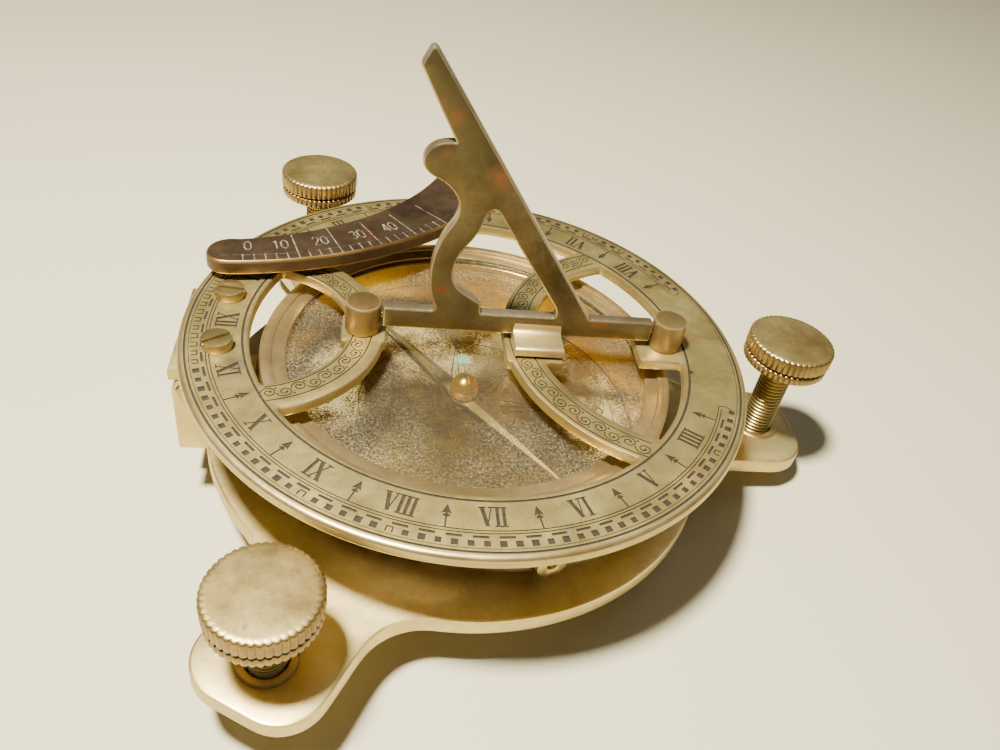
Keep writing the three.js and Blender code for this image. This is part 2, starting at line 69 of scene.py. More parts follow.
# Half widths of the bosses under the left post and the gnomon's foot, and of the lug.
POST_BOSS, FOOT_BOSS, LUG = 3.8, 7.2, 5.2
PLATE_TOP = node_box("base_plate")[1].z
LOBE_TIP = node_box("base_plate")[1].x
PLATE_R = 46.9
SCREW_CIRCLE = 61.0
BUSH_R, BUSH_BORE, FLANGE_R = 3.8, 3.1, 4.4
LOBE_ANGLES = {"a": -120, "b": 0, "c": 120}
LOBE_HALF, LOBE_CORNER, LOBE_FILLET = 10.6, 7, 11
BOX_SCREW_CIRCLE, SINK_R, SINK_DEPTH = 28, 2.6, 1.55


# ---------- mesh tools ----------
def obj_from(name, bm, body, materials, sharp=35, replaces=()):
    """Links a bmesh in millimetres as a piece on a CAD body; edges past sharp degrees stay crisp."""
    bmesh.ops.recalc_face_normals(bm, faces=bm.faces[:])
    bmesh.ops.scale(bm, vec=(MM, MM, MM), verts=bm.verts[:])
    mesh = bpy.data.meshes.new(name)
    bm.to_mesh(mesh)
    bm.free()
    for material in materials:
        mesh.materials.append(material)
    mesh.polygons.foreach_set("use_smooth", [True] * len(mesh.polygons))
    obj = bpy.data.objects.new(name, mesh)
    bpy.context.scene.collection.objects.link(obj)
    smooth_by_angle(obj, sharp)
    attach(obj, body)
    if replaces:
        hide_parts(*replaces)


def smooth_by_angle(obj, degrees):
    limit = math.radians(degrees)
    bm = bmesh.new()
    bm.from_mesh(obj.data)
    for edge in bm.edges:
        faces = edge.link_faces
        edge.smooth = len(faces) == 2 and faces[0].normal.angle(faces[1].normal, 0) < limit
    bm.to_mesh(obj.data)
    bm.free()


def at_angle(r, degrees):
    a = math.radians(degrees)
    return r * math.cos(a), r * math.sin(a)


def circle(r, x=0.0, y=0.0, n=96):
    return [(x + r * math.cos(TAU * i / n), y + r * math.sin(TAU * i / n)) for i in range(n)]


def arc(r, x, y, a0, a1, n):
    """Points on an arc from a0 to a1 degrees."""
    steps = [math.radians(a0 + (a1 - a0) * i / n) for i in range(n + 1)]
    return [(x + r * math.cos(a), y + r * math.sin(a)) for a in steps]


def resample(loop, step):
    """The loop walked in even steps."""
    points = [Vector(p) for p in loop]
    lengths = [(points[(i + 1) % len(points)] - p).length for i, p in enumerate(points)]
    total = sum(lengths)
    count = max(8, round(total / step))
    out, i, walked = [], 0, 0.0
    for k in range(count):
        target = total * k / count
        while walked + lengths[i] < target:
            walked += lengths[i]
            i += 1
        t = (target - walked) / max(lengths[i], 1e-9)
        out.append(points[i].lerp(points[(i + 1) % len(points)], t))
    return out


def softened(loop, step=0.35, rounds=3):
    """The loop with its corners rounded off."""
    points = resample(loop, step)
    for _ in range(rounds):
        count = len(points)
        points = [
            points[i] * 0.5 + (points[i - 1] + points[(i + 1) % count]) * 0.25 for i in range(count)
        ]
    return [(p.x, p.y) for p in points]


def area(loop):
    """Area inside a loop, above 0 where it runs anticlockwise."""
    return sum(
        loop[i - 1][0] * loop[i][1] - loop[i][0] * loop[i - 1][1] for i in range(len(loop))
    ) / 2


def turned_way(loop, ccw):
    return loop if (area(loop) > 0) == ccw else loop[::-1]


def inset(loop, d):
    """Moves each point of a loop to its left by d, along the corner's bisector."""
    points = [Vector(p) for p in loop]
    count = len(points)
    out = []
    for i, p in enumerate(points):
        a = (p - points[i - 1]).normalized()
        b = (points[(i + 1) % count] - p).normalized()
        na, nb = Vector((-a.y, a.x)), Vector((-b.y, b.x))
        bisector = (na + nb).normalized()
        reach = d / max(0.5, bisector.dot(na))
        out.append(p + bisector * reach)
    return [(p.x, p.y) for p in out]


def chamfer(size):
    """Edge profile: pairs of inset and drop, from the side up to the face."""
    return [(0.0, size), (size * 0.29, size * 0.29), (size, 0.0)]


def cap(bm, loops, rings, marks, z, depth, up, mats):
    """Fills the area inside loops[0] and outside the others; marks are sunk by depth."""
    coords, faces, owner = [], [], {}
    for k, loop in enumerate(loops):
        start = len(coords)
        for i, p in enumerate(loop):
            owner[start + i] = rings[k][i]
            coords.append(Vector(p))
        order = list(range(start, len(coords)))
        faces.append(order[::-1] if k else order)
    for mark in marks:
        start = len(coords)
        coords.extend(Vector(p) for p in turned_way(mark, True))
        faces.append(list(range(start, len(coords))))
    holes = len(loops)
    verts, _, tris, orig_verts, _, orig_faces = delaunay_2d_cdt(coords, [], faces, 0, 1e-6)
    made = {}

    def vertex(i, level):
        if (i, level) not in made:
            rim = [owner[o] for o in orig_verts[i] if o in owner]
            if rim and level == 0:
                made[i, level] = rim[0]
            else:
                made[i, level] = bm.verts.new((verts[i].x, verts[i].y, z - up * depth * level))
        return made[i, level]

    edges = {}
    for tri, origins in zip(tris, orig_faces):
        if 0 not in origins or any(o in origins for o in range(1, holes)):
            continue
        level = int(any(o >= holes for o in origins))
        order = tri if up > 0 else tri[::-1]
        face = bm.faces.new([vertex(i, level) for i in order])
        face.material_index = mats[1] if level else mats[0]
        for i in range(3):
            pair = (tri[i], tri[(i + 1) % 3])
            edges.setdefault(tuple(sorted(pair)), []).append((pair, level))
    for sides in edges.values():
        if len(sides) == 2 and sides[0][1] != sides[1][1]:
            (i, j), _ = sides[0] if sides[0][1] == 1 else sides[1]
            quad = [vertex(i, 0), vertex(j, 0), vertex(j, 1), vertex(i, 1)]
            if len(set(quad)) == 4:
                bm.faces.new(quad).material_index = mats[1]


def slab(outer, holes, z0, z1, top_edge, low_edge, marks=(), depth=0.2, low_marks=(), low_depth=1.0,
         hole_edge=None, wear=1, wall=0):
    """A plate with shaped edges. Material 0 is its faces, wear its edges, wall its sides, 2 its marks."""
    bm = bmesh.new()
    loops = [turned_way(outer, True)] + [turned_way(h, False) for h in holes]
    tops, lows, top_loops, low_loops = [], [], [], []
    for k, loop in enumerate(loops):
        profile_top = top_edge if k == 0 or hole_edge is None else hole_edge
        rows = [(d, z0 + drop) for d, drop in reversed(low_edge)]
        rows += [(d, z1 - drop) for d, drop in profile_top]
        rings = []
        for d, z in rows:
            ring = inset(loop, d) if d else loop
            rings.append([bm.verts.new((x, y, z)) for x, y in ring])
        count = len(loop)
        side = len(low_edge) - 1
        for row in range(len(rows) - 1):
            for i in range(count):
                j = (i + 1) % count
                quad = (rings[row][i], rings[row][j], rings[row + 1][j], rings[row + 1][i])
                bm.faces.new(quad).material_index = wall if row == side else wear
        tops.append(rings[-1])
        lows.append(rings[0])
        top_loops.append([(v.co.x, v.co.y) for v in rings[-1]])
        low_loops.append([(v.co.x, v.co.y) for v in rings[0]])
    cap(bm, top_loops, tops, marks, z1, depth, 1, (0, 2))
    cap(bm, low_loops, lows, low_marks, z0, low_depth, -1, (0, 0))
    return bm


def lathe(profile, n=128, mats=None, closed=False, wobble=None):
    """A solid of revolution about Z from pairs of radius and height."""
    bm = bmesh.new()
    rows = []
    for r, z in profile:
        if r < 1e-6:
            rows.append([bm.verts.new((0, 0, z))])
            continue
        row = []
        for i in range(n):
            a = TAU * i / n
            k = r * (wobble(a, r, z) if wobble else 1)
            row.append(bm.verts.new((k * math.cos(a), k * math.sin(a), z)))
        rows.append(row)
    pairs = list(zip(rows, rows[1:])) + ([(rows[-1], rows[0])] if closed else [])
    for s, (low, high) in enumerate(pairs):
        for i in range(n):
            j = (i + 1) % n
            ring = [low[i % len(low)], low[j % len(low)], high[j % len(high)], high[i % len(high)]]
            face = list(dict.fromkeys(ring))
            if len(face) > 2:
                bm.faces.new(face).material_index = mats[s] if mats else 0
    return bm


def moved(bm, matrix):
    bmesh.ops.transform(bm, matrix=matrix, verts=bm.verts[:])
    return bm


def from_node(name, bevel, body, material, edge_material):
    """A copy of a CAD node with its edges eased."""
    bm = bmesh.new()
    bm.from_mesh(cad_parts[name].data)
    bmesh.ops.remove_doubles(bm, verts=bm.verts[:], dist=2e-6)
    bmesh.ops.dissolve_limit(bm, angle_limit=math.radians(1), verts=bm.verts[:], edges=bm.edges[:])
    sharp = [e for e in bm.edges if len(e.link_faces) == 2
             and e.link_faces[0].normal.angle(e.link_faces[1].normal, 0) > math.radians(40)]
    for face in bm.faces:
        face.material_index = 0
    bmesh.ops.bevel(bm, geom=sharp, offset=bevel * MM, segments=2, affect="EDGES",
                    material=1, clamp_overlap=True, profile=0.5)
    bmesh.ops.scale(bm, vec=(1 / MM, 1 / MM, 1 / MM), verts=bm.verts[:])
    obj_from(name + "_part", bm, body, [material, edge_material], 40, [name])


# ---------- materials ----------
def srgb(r, g, b):
    """A display colour of 0 to 255 as the linear colour that a shader takes."""
    return tuple((c / 255) ** 2.2 for c in (r, g, b)) + (1.0,)


def new_material(name):
    material = bpy.data.materials.new(name)
    material.use_nodes = True
    return material


class Nodes:
    """Short calls for building a material's node tree."""

    def __init__(self, material):
        self.material = material
        self.tree = material.node_tree
        self.shader = self.tree.nodes["Principled BSDF"]
        self.place = self.add("ShaderNodeTexCoord").outputs["Object"]

    def add(self, kind, **values):
        node = self.tree.nodes.new(kind)
        for key, value in values.items():
            setattr(node, key, value)
        return node

    def link(self, source, target):
        self.tree.links.new(source, target)

    def noise(self, scale, detail=4.0, rough=0.6, stretch=(1, 1, 1), turn=0.0):
        mapping = self.add("ShaderNodeMapping")
        mapping.inputs["Scale"].default_value = stretch
        mapping.inputs["Rotation"].default_value = (0, 0, turn)
        self.link(self.place, mapping.inputs["Vector"])
        node = self.add("ShaderNodeTexNoise")
        node.inputs["Scale"].default_value = scale
        node.inputs["Detail"].default_value = detail
        node.inputs["Roughness"].default_value = rough
        self.link(mapping.outputs["Vector"], node.inputs["Vector"])
        return node.outputs["Fac"]

    def ramp(self, source, *stops):
        node = self.add("ShaderNodeValToRGB")
        elements = node.color_ramp.elements
        while len(elements) < len(stops):
            elements.new(0.5)
        for element, (position, value) in zip(elements, stops):
            element.position = position
            element.color = value if isinstance(value, tuple) else (value, value, value, 1)
        self.link(source, node.inputs["Fac"])
        return node.outputs["Color"]

    def mix(self, factor, a, b):
        node = self.add("ShaderNodeMix", data_type="RGBA")
        for socket, value in ((node.inputs[0], factor), (node.inputs[6], a), (node.inputs[7], b)):
            if isinstance(value, bpy.types.NodeSocket):
                self.link(value, socket)
            else:
                socket.default_value = value
        return node.outputs[2]

    def math(self, operation, a, b):
        node = self.add("ShaderNodeMath", operation=operation)
        for socket, value in zip(node.inputs, (a, b)):
            if isinstance(value, bpy.types.NodeSocket):
                self.link(value, socket)
            else:
                socket.default_value = value
        return node.outputs[0]

    def lay_over(self, cover, colour):
        """Puts a colour over the one that the shader has, by a cover of 0 to 1."""
        base = self.shader.inputs["Base Color"].links[0].from_socket
        self.link(self.mix(cover, base, colour), self.shader.inputs["Base Color"])

    def bump(self, height, strength, distance):
        node = self.add("ShaderNodeBump")
        node.inputs["Strength"].default_value = strength
        node.inputs["Distance"].default_value = distance
        self.link(height, node.inputs["Height"])
        self.link(node.outputs["Normal"], self.shader.inputs["Normal"])


def metal(name, light, dark, tarnish, rough=(0.3, 0.5), tarnish_from=0.55, copper=0.0, seed=0.0,
          brushed=(1, 1, 1), metallic=0.9, spots=None):
    """Worn brass: two tones, tarnish patches, small pits, fine scratches and uneven gloss."""
    n = Nodes(new_material(name))
    shifted = n.add("ShaderNodeVectorMath", operation="ADD")
    shifted.inputs[1].default_value = (seed, seed * 0.7, seed * 0.3)
    n.link(n.place, shifted.inputs[0])
    n.place = shifted.outputs[0]
    broad = n.noise(75, 5, 0.6)
    light, dark, tarnish = srgb(*light), srgb(*dark), srgb(*tarnish)
    colour = n.mix(n.ramp(broad, (0.35, 0.0), (0.68, 1.0)), dark, light)
    fine = n.noise(900, 3, 0.7)
    colour = n.mix(n.ramp(fine, (0.4, 0.0), (0.75, 0.45)), colour, dark)
    patches = n.ramp(n.noise(38, 6, 0.7), (tarnish_from, 0.0), (tarnish_from + 0.16, 0.85))
    colour = n.mix(patches, colour, tarnish)
    if copper:
        patch = n.ramp(n.noise(110, 2, 0.5, turn=1.0), (0.66, 0.0), (0.72, copper))
        colour = n.mix(patch, colour, srgb(176, 104, 72))
    pit = n.ramp(n.noise(2600, 2, 0.5), (0.70, 0.0), (0.76, 0.7))
    colour = n.mix(pit, colour, tarnish)
    if spots:
        dots = n.ramp(n.noise(300, 1, 0.4), (0.74, 0.0), (0.77, 0.8))
        colour = n.mix(dots, colour, srgb(*spots))
    n.link(colour, n.shader.inputs["Base Color"])
    n.shader.inputs["Metallic"].default_value = metallic
    gloss = n.ramp(n.noise(160, 6, 0.75), (0.3, rough[0]), (0.7, rough[1]))
    n.link(gloss, n.shader.inputs["Roughness"])
    scratch = n.noise(1500, 3, 0.7, stretch=brushed, turn=0.5)
    n.bump(n.mix(0.5, scratch, fine), 0.25, 0.00006)
    return n.material


def stain_and_shade(material, centre, radius, colour, strength=0.8, soft=0.7, ragged=0.8, squash=(1, 1, 1)):
    """Lays a patch of colour on a metal round a point in millimetres, for real discoloured spots and for
    painted shade; soft and ragged are shares of its radius.
    """
    n = Nodes(material)
    scaled = n.add("ShaderNodeVectorMath", operation="MULTIPLY")
    scaled.inputs[1].default_value = squash
    n.link(n.place, scaled.inputs[0])
    away = n.add("ShaderNodeVectorMath", operation="DISTANCE")
    away.inputs[1].default_value = tuple(c * MM * q for c, q in zip(centre, squash))
    n.link(scaled.outputs[0], away.inputs[0])
    wander = n.math("MULTIPLY", n.math("SUBTRACT", n.noise(450, 5, 0.7), 0.5), 2 * ragged * radius * MM)
    size = n.math("DIVIDE", n.math("ADD", away.outputs["Value"], wander), 1.25 * radius * MM)
    cover = n.ramp(size, (max(0.0, 0.8 - soft * 0.8), strength), (1.0, 0.0))
    n.lay_over(cover, srgb(*colour))


def plain(name, colour, roughness, metallic, variation, scale):
    """An even finish with a slight change of tone."""
    n = Nodes(new_material(name))
    lighter = srgb(*colour)
    darker = tuple(c * (1 - variation) for c in lighter[:3]) + (1.0,)
    tone = n.mix(n.ramp(n.noise(scale, 4), (0.35, 0.0), (0.65, 1.0)), darker, lighter)
    n.link(tone, n.shader.inputs["Base Color"])
    n.shader.inputs["Metallic"].default_value = metallic
    n.shader.inputs["Roughness"].default_value = roughness
    n.bump(n.noise(scale * 3, 3), 0.2, 0.00004)
    return n.material


TARNISH = (104, 84, 52)
dial_brass = metal("dial_brass", (204, 186, 122), (168, 150, 94), (126, 106, 66),
                   (0.36, 0.52), 0.6, 0.25, 0.1, (1, 5, 1))
dial_edge = metal("dial_edge", (224, 200, 146), (188, 160, 104), TARNISH, (0.28, 0.42), 0.66)
dial_side = metal("dial_side", (176, 140, 80), (128, 96, 50), (80, 56, 32), (0.34, 0.5), 0.6)
engraved = plain("engraved_black", (58, 48, 36), 0.65, 0.3, 0.5, 1500)
plate_brass = metal("plate_brass", (226, 206, 146), (196, 174, 116), (148, 124, 80),
                    (0.38, 0.52), 0.66, 0.1, 0.4, spots=(120, 126, 124))
plate_edge = metal("plate_edge", (228, 206, 150), (190, 162, 104), TARNISH, (0.28, 0.44), 0.68, 0.2)
tab_brass = metal("tab_brass", (228, 206, 150), (200, 176, 120), TARNISH, (0.4, 0.5), 0.72, 0.0, 0.7)
knob_brass = metal("knob_brass", (208, 188, 126), (150, 126, 76), (100, 80, 48),
                   (0.32, 0.5), 0.58, 0.15, 0.9, spots=(120, 126, 118))
# Darker copy of the knob brass for the fluted sides: painted shade where the sides turn away from the
# overhead light.
shaded_flute_brass = metal("shaded_flute_brass", (176, 150, 98), (118, 96, 58), (76, 58, 38),
                    (0.28, 0.42), 0.6, 0.2, 1.1)
screw_brass = metal("screw_brass", (196, 176, 118), (148, 128, 82), (92, 76, 48),
                    (0.26, 0.4), 0.64, 0.0, 1.4)
gnomon_brass = metal("gnomon_brass", (134, 121, 88), (98, 87, 61), (68, 58, 42),
                     (0.36, 0.5), 0.52, 0.5, 2.3, (1, 1, 5), spots=(150, 84, 50))
gnomon_edge = metal("gnomon_edge", (204, 186, 150), (150, 132, 104), (96, 80, 60),
                    (0.26, 0.42), 0.58, 0.4, 2.6)
post_brass = metal("post_brass", (184, 156, 104), (142, 116, 72), (98, 78, 50), (0.3, 0.44), 0.6,
                   0.0, 2.9, (1, 1, 6))
bronze = metal("arc_bronze", (118, 98, 76), (92, 74, 58), (62, 50, 42), (0.38, 0.54), 0.5,
               0.3, 3.1)
bronze_edge = metal("arc_edge", (190, 152, 92), (138, 108, 66), (88, 66, 44),
                    (0.3, 0.44), 0.55, 0.2, 3.4)
bronze_mark = plain("arc_mark", (148, 140, 126), 0.5, 0.3, 0.75, 1100)
gold = metal("gold_wall", (250, 212, 56), (222, 176, 28), (160, 112, 24), (0.16, 0.3), 0.7,
             0.0, 4.0, (1, 1, 8), 0.95)
bezel_brass = metal("bezel_brass", (206, 182, 132), (172, 146, 98), (130, 106, 66),
                    (0.32, 0.46), 0.62, 0.1, 5.0)
needle_brass = metal("needle_brass", (178, 156, 96), (128, 108, 62), (80, 64, 38),
                     (0.24, 0.38), 0.62, 0.0, 6.2)


def speckled_card():
    """Golden card with pale corrosion, thick towards the edge and thin over part of the rose."""
    material = metal("card_brass", (196, 162, 62), (140, 110, 40), (78, 60, 30), (0.26, 0.42), 0.5, 0.0, 5.6)
    n = Nodes(material)
    away = n.add("ShaderNodeVectorMath", operation="DISTANCE")
    away.inputs[1].default_value = (0.003, -0.017, 0.0045)
    n.link(n.place, away.inputs[0])
    reach = n.ramp(n.math("MULTIPLY", away.outputs["Value"], 1 / 0.05), (0.08, 0.0), (0.5, 0.125))
    grain = n.noise(2500, 7, 0.85)
    level = n.math("ADD", n.math("MULTIPLY", n.noise(110, 4, 0.6), 0.34), reach)
    cover = n.ramp(n.math("ADD", n.math("MULTIPLY", grain, 0.62), level), (0.6, 0.0), (0.66, 0.92))
    crust = n.mix(n.noise(900, 2), srgb(214, 202, 166), srgb(146, 130, 94))
    n.lay_over(cover, crust)
    n.link(n.math("SUBTRACT", 1.0, cover), n.shader.inputs["Metallic"])
    return material


card_brass = speckled_card()
COPPER = (146, 100, 68)
GNOMON_T = 2.2
GNOMON_FRONT = -GNOMON_T / 2
for x, z, radius in ((-7.4, 62.8, 1.9), (0.8, 53.9, 2.3), (-8.2, 57.2, 0.9)):
    stain_and_shade(gnomon_brass, (x, GNOMON_FRONT, z), radius, COPPER)
stain_and_shade(gnomon_brass, (-6.6, GNOMON_FRONT, 32.4), 0.9, (160, 84, 50))
stain_and_shade(gnomon_brass, (12.5, GNOMON_FRONT, 36.0), 8.0, (66, 54, 36), 0.75, 0.9, 1.0)
stain_and_shade(gnomon_brass, (4.0, GNOMON_FRONT, 46.0), 6.0, (80, 66, 44), 0.5, 0.9, 1.0)
stain_and_shade(gnomon_brass, (-9.5, GNOMON_FRONT, 70.0), 22.0, (84, 74, 50), 0.6, 0.9, 0.4)
stain_and_shade(dial_brass, (-39.7, -11.7, 22.5), 2.0, (118, 102, 104), 0.6)
stain_and_shade(dial_brass, (39.2, -7.8, 22.5), 0.5, (96, 52, 30), 0.9)
# Painted shadow: a dark brown disc on the plate under the ring and round the compass box, where the ring's
# shade falls.
stain_and_shade(plate_brass, (0, 0, 3.2), 38.5, (60, 42, 22), 0.92, 0.14, 0.08, (1, 1, 0))


def dusty_glass():
    """Clear glass with dust lying on it, thicker in patches and round the edge."""
    n = Nodes(new_material("dusty_glass"))
    n.shader.inputs["Roughness"].default_value = 0.75
    n.shader.inputs["Specular IOR Level"].default_value = 0.2
    grain = n.ramp(n.noise(2300, 6, 0.85), (0.5, 0.0), (0.6, 1.0))
    patch = n.ramp(n.noise(60, 5, 0.65), (0.45, 0.04), (0.7, 0.4))
    edge = n.add("ShaderNodeVectorMath", operation="LENGTH")
    n.link(n.place, edge.inputs[0])
    edge_dust = n.ramp(n.math("MULTIPLY", edge.outputs["Value"], 1 / 0.04), (0.66, 0.0), (0.9, 0.14))
    cover = n.math("MULTIPLY", grain, n.math("ADD", patch, edge_dust))
    cover = n.math("MINIMUM", n.math("MULTIPLY", cover, 0.8), 0.85)
    film = n.math("ADD", cover, 0.025)
    tint = n.mix(n.noise(1200, 2), srgb(214, 200, 168), srgb(150, 132, 100))
    spot = n.add("ShaderNodeVectorMath", operation="DISTANCE")
    spot.inputs[1].default_value = (-0.0012, -0.001, 0.0173)
    n.link(n.place, spot.inputs[0])
    ragged = n.math("ADD", spot.outputs["Value"], n.math("MULTIPLY", n.noise(900, 3), 0.0022))
    verdigris = n.ramp(n.math("MULTIPLY", ragged, 100.0), (0.21, 1.0), (0.3, 0.0))
    tint = n.mix(verdigris, tint, srgb(104, 150, 130))
    film = n.math("MAXIMUM", film, n.math("MULTIPLY", verdigris, 0.6))
    n.link(tint, n.shader.inputs["Base Color"])
    clear = n.add("ShaderNodeBsdfTransparent")
    clear.inputs["Color"].default_value = (0.93, 0.93, 0.88, 1)
    shine = n.add("ShaderNodeBsdfGlossy")
    shine.inputs["Roughness"].default_value = 0.05
    facing = n.add("ShaderNodeLayerWeight").outputs["Facing"]
    weight = n.ramp(facing, (0.4, 0.02), (0.95, 0.5))
    pane = n.add("ShaderNodeMixShader")
    n.link(weight, pane.inputs[0])
    n.link(clear.outputs[0], pane.inputs[1])
    n.link(shine.outputs[0], pane.inputs[2])
    mixed = n.add("ShaderNodeMixShader")
    n.link(film, mixed.inputs[0])
    n.link(pane.outputs[0], mixed.inputs[1])
    n.link(n.shader.outputs[0], mixed.inputs[2])
    output = n.tree.nodes["Material Output"]
    n.link(mixed.outputs[0], output.inputs["Surface"])
    return n.material


glass = dusty_glass()


# ---------- lettering ----------
def bar(x0, y0, x1, y1, width):
    """A straight stroke as a rectangle."""
    d = Vector((x1 - x0, y1 - y0)).normalized() * (width / 2)
    return [(x0 + d.y, y0 - d.x), (x1 + d.y, y1 - d.x), (x1 - d.y, y1 + d.x), (x0 - d.y, y0 + d.x)]


def ribbon(points, width):
    """A smooth open curve with a width."""
    left, right = [], []
    for i, p in enumerate(points):
        a, b = points[max(0, i - 1)], points[min(len(points) - 1, i + 1)]
        d = Vector((b[0] - a[0], b[1] - a[1])).normalized() * (width / 2)
        left.append((p[0] - d.y, p[1] + d.x))
        right.append((p[0] + d.y, p[1] - d.x))
    return left + right[::-1]


THICK, THIN = 0.62, 0.2
SERIF = 0.24
ROMAN_WIDTH = {"I": 0.95, "V": 2.1, "X": 2.2}


def roman(text, height):
    """Strokes of a Roman numeral, centred on the origin, with serifs."""
    width = sum(ROMAN_WIDTH[c] for c in text)
    x, half, strokes = -width / 2, height / 2, []
    for c in text:
        w = ROMAN_WIDTH[c]
        mid = x + w / 2
        if c == "I":
            strokes.append(bar(mid, -half, mid, half, THICK * 0.8))
            strokes.append(bar(x, half, x + w, half, SERIF))
            strokes.append(bar(x, -half, x + w, -half, SERIF))
        elif c == "V":
            strokes.append(bar(x + 0.4, half, mid, -half, THICK))
            strokes.append(bar(x + w - 0.35, half, mid, -half, THIN))
            strokes.append(bar(x - 0.1, half, x + 0.95, half, SERIF))
            strokes.append(bar(x + w - 0.8, half, x + w, half, SERIF))
        else:
            strokes.append(bar(x + 0.35, half, x + w - 0.35, -half, THICK))
            strokes.append(bar(x + w - 0.35, half, x + 0.35, -half, THIN))
            for y in (half, -half):
                strokes.append(bar(x - 0.05, y, x + 0.85, y, SERIF))
                strokes.append(bar(x + w - 0.85, y, x + w + 0.05, y, SERIF))
        x += w
    return strokes


GLYPHS = {
    "0": [[(0, 0.2), (0, 0.8), (0.5, 1), (1, 0.8), (1, 0.2), (0.5, 0), (0, 0.2)]],
    "1": [[(0.2, 0.75), (0.55, 1), (0.55, 0)]],
    "2": [[(0, 0.75), (0.3, 1), (0.8, 1), (1, 0.7), (0, 0), (1, 0)]],
    "3": [[(0, 0.85), (0.5, 1), (1, 0.78), (0.5, 0.55), (1, 0.28), (0.5, 0), (0, 0.15)]],
    "4": [[(0.75, 0), (0.75, 1), (0, 0.3), (1, 0.3)]],
    "5": [[(1, 1), (0.1, 1), (0.05, 0.55), (0.6, 0.6), (1, 0.3), (0.6, 0), (0, 0.1)]],
    "6": [[(0.85, 1), (0.2, 0.7), (0, 0.3), (0.4, 0), (0.9, 0.15), (0.8, 0.5), (0.1, 0.4)]],
    "7": [[(0, 1), (1, 1), (0.4, 0)]],
    "8": [[(0.5, 0.55), (0.1, 0.78), (0.5, 1), (0.9, 0.78), (0.5, 0.55), (0, 0.25), (0.5, 0),
           (1, 0.25), (0.5, 0.55)]],
    "9": [[(0.1, 0), (0.8, 0.3), (1, 0.7), (0.6, 1), (0.1, 0.85), (0.2, 0.5), (0.9, 0.6)]],
    "N": [[(0, 0), (0, 1), (1, 0), (1, 1)]],
    "E": [[(1, 1), (0, 1), (0, 0), (1, 0)], [(0, 0.5), (0.8, 0.5)]],
    "S": [[(1, 0.85), (0.5, 1), (0, 0.78), (1, 0.28), (0.5, 0), (0, 0.15)]],
    "W": [[(0, 1), (0.25, 0), (0.5, 0.7), (0.75, 0), (1, 1)]],
}


def lettering(text, height, width, pen, gap=0.35):
    """Strokes of plain lettering, centred on the origin."""
    x = -(len(text) * width + (len(text) - 1) * gap * width) / 2
    strokes = []
    for c in text:
        for line in GLYPHS[c]:
            points = [(x + px * width, (py - 0.5) * height) for px, py in line]
            strokes += [bar(*p, *q, pen) for p, q in zip(points, points[1:])]
        x += width * (1 + gap)
    return strokes


def placed(strokes, x, y, degrees):
    """Turns strokes about the origin and moves them."""
    c, s = math.cos(math.radians(degrees)), math.sin(math.radians(degrees))
    return [[(x + px * c - py * s, y + px * s + py * c) for px, py in stroke] for stroke in strokes]


def on_circle(strokes, r, degrees, x=0.0, y=0.0):
    """Sets strokes on a circle with their tops towards its centre."""
    dx, dy = at_angle(r, degrees)
    return placed(strokes, x + dx, y + dy, degrees + 90)


def band(r0, r1, a0, a1, x=0.0, y=0.0, step=3.0):
    """A stretch of a ring as one outline."""
    n = max(2, math.ceil(abs(a1 - a0) / step))
    return arc(r0, x, y, a0, a1, n) + arc(r1, x, y, a1, a0, n)


def full_rings(r0, r1, step=3.0):
    """A whole ring, as two halves that overlap slightly."""
    return [band(r0, r1, 0, 181, step=step), band(r0, r1, 180, 361, step=step)]


# ---------- dial ----------
HOURS = ["XII", "XI", "X", "IX", "VIII", "VII", "VI", "V", "IIII"]
AFTERNOON = ["I", "II", "III", "IIII", "V", "VI", "VII", "VIII"]
HOUR_STEP = 18
NUMERAL_R, NUMERAL_H = 42.5, 3.4
ARROW_R = 42.9
TRACK_END = 157.5
TRACK_START = 180 - TRACK_END
TRACK_R, TRACK_LINE = 44.95, 0.17
SQUARE_R, SQUARE_STEP = 47.3, 2.75
DASH_R, DASH_STEP = 46.15, 4.66


def border_marks():
    """The dial's border rings, the minute track's two lines and the hook at each of its ends."""
    marks = full_rings(39.45, 39.85, 2) + full_rings(48.6, 48.95, 2) + full_rings(48.1, 48.2, 2)
    for r in (TRACK_R, TRACK_R + 0.5):
        marks.append(band(r, r + TRACK_LINE, TRACK_START, 180 + TRACK_END, step=2))
    for side in (1, -1):
        ux, uy = at_angle(1, 180 + side * TRACK_END)
        tx, ty = -uy * side, ux * side
        base = [(TRACK_R, 0.0), (45.1, 0.5), (46.2, 0.9), (47.2, 0.5), (47.4, -0.5)]
        hook = [(r * ux + t * tx, r * uy + t * ty) for r, t in base]
        marks.append(ribbon(hook, TRACK_LINE))
    return marks


def minute_marks():
    """A row of small squares, some worn down to their outlines, and a row of dashes inside it."""
    marks = []
    rng = random.Random(11)
    for i in range(int(2 * TRACK_END / SQUARE_STEP) + 1):
        degrees = TRACK_START + 1.2 + i * SQUARE_STEP
        size = 0.52 + rng.uniform(-0.06, 0.04)
        square = [(-size, -size), (size, -size), (size, size), (-size, size)]
        if 157 < degrees < 196 or rng.random() < 0.08:
            sides = [bar(*square[k], *square[(k + 1) % 4], 0.22) for k in (1, 2, 3)]
            marks += on_circle(sides, SQUARE_R, degrees)
        else:
            marks += on_circle([square], SQUARE_R, degrees)
    for i in range(int(2 * TRACK_END / DASH_STEP)):
        degrees = TRACK_START + 2.6 + i * DASH_STEP
        marks += on_circle([bar(-1.15, 0, 1.15, 0, 0.42)], DASH_R, degrees)
    return marks


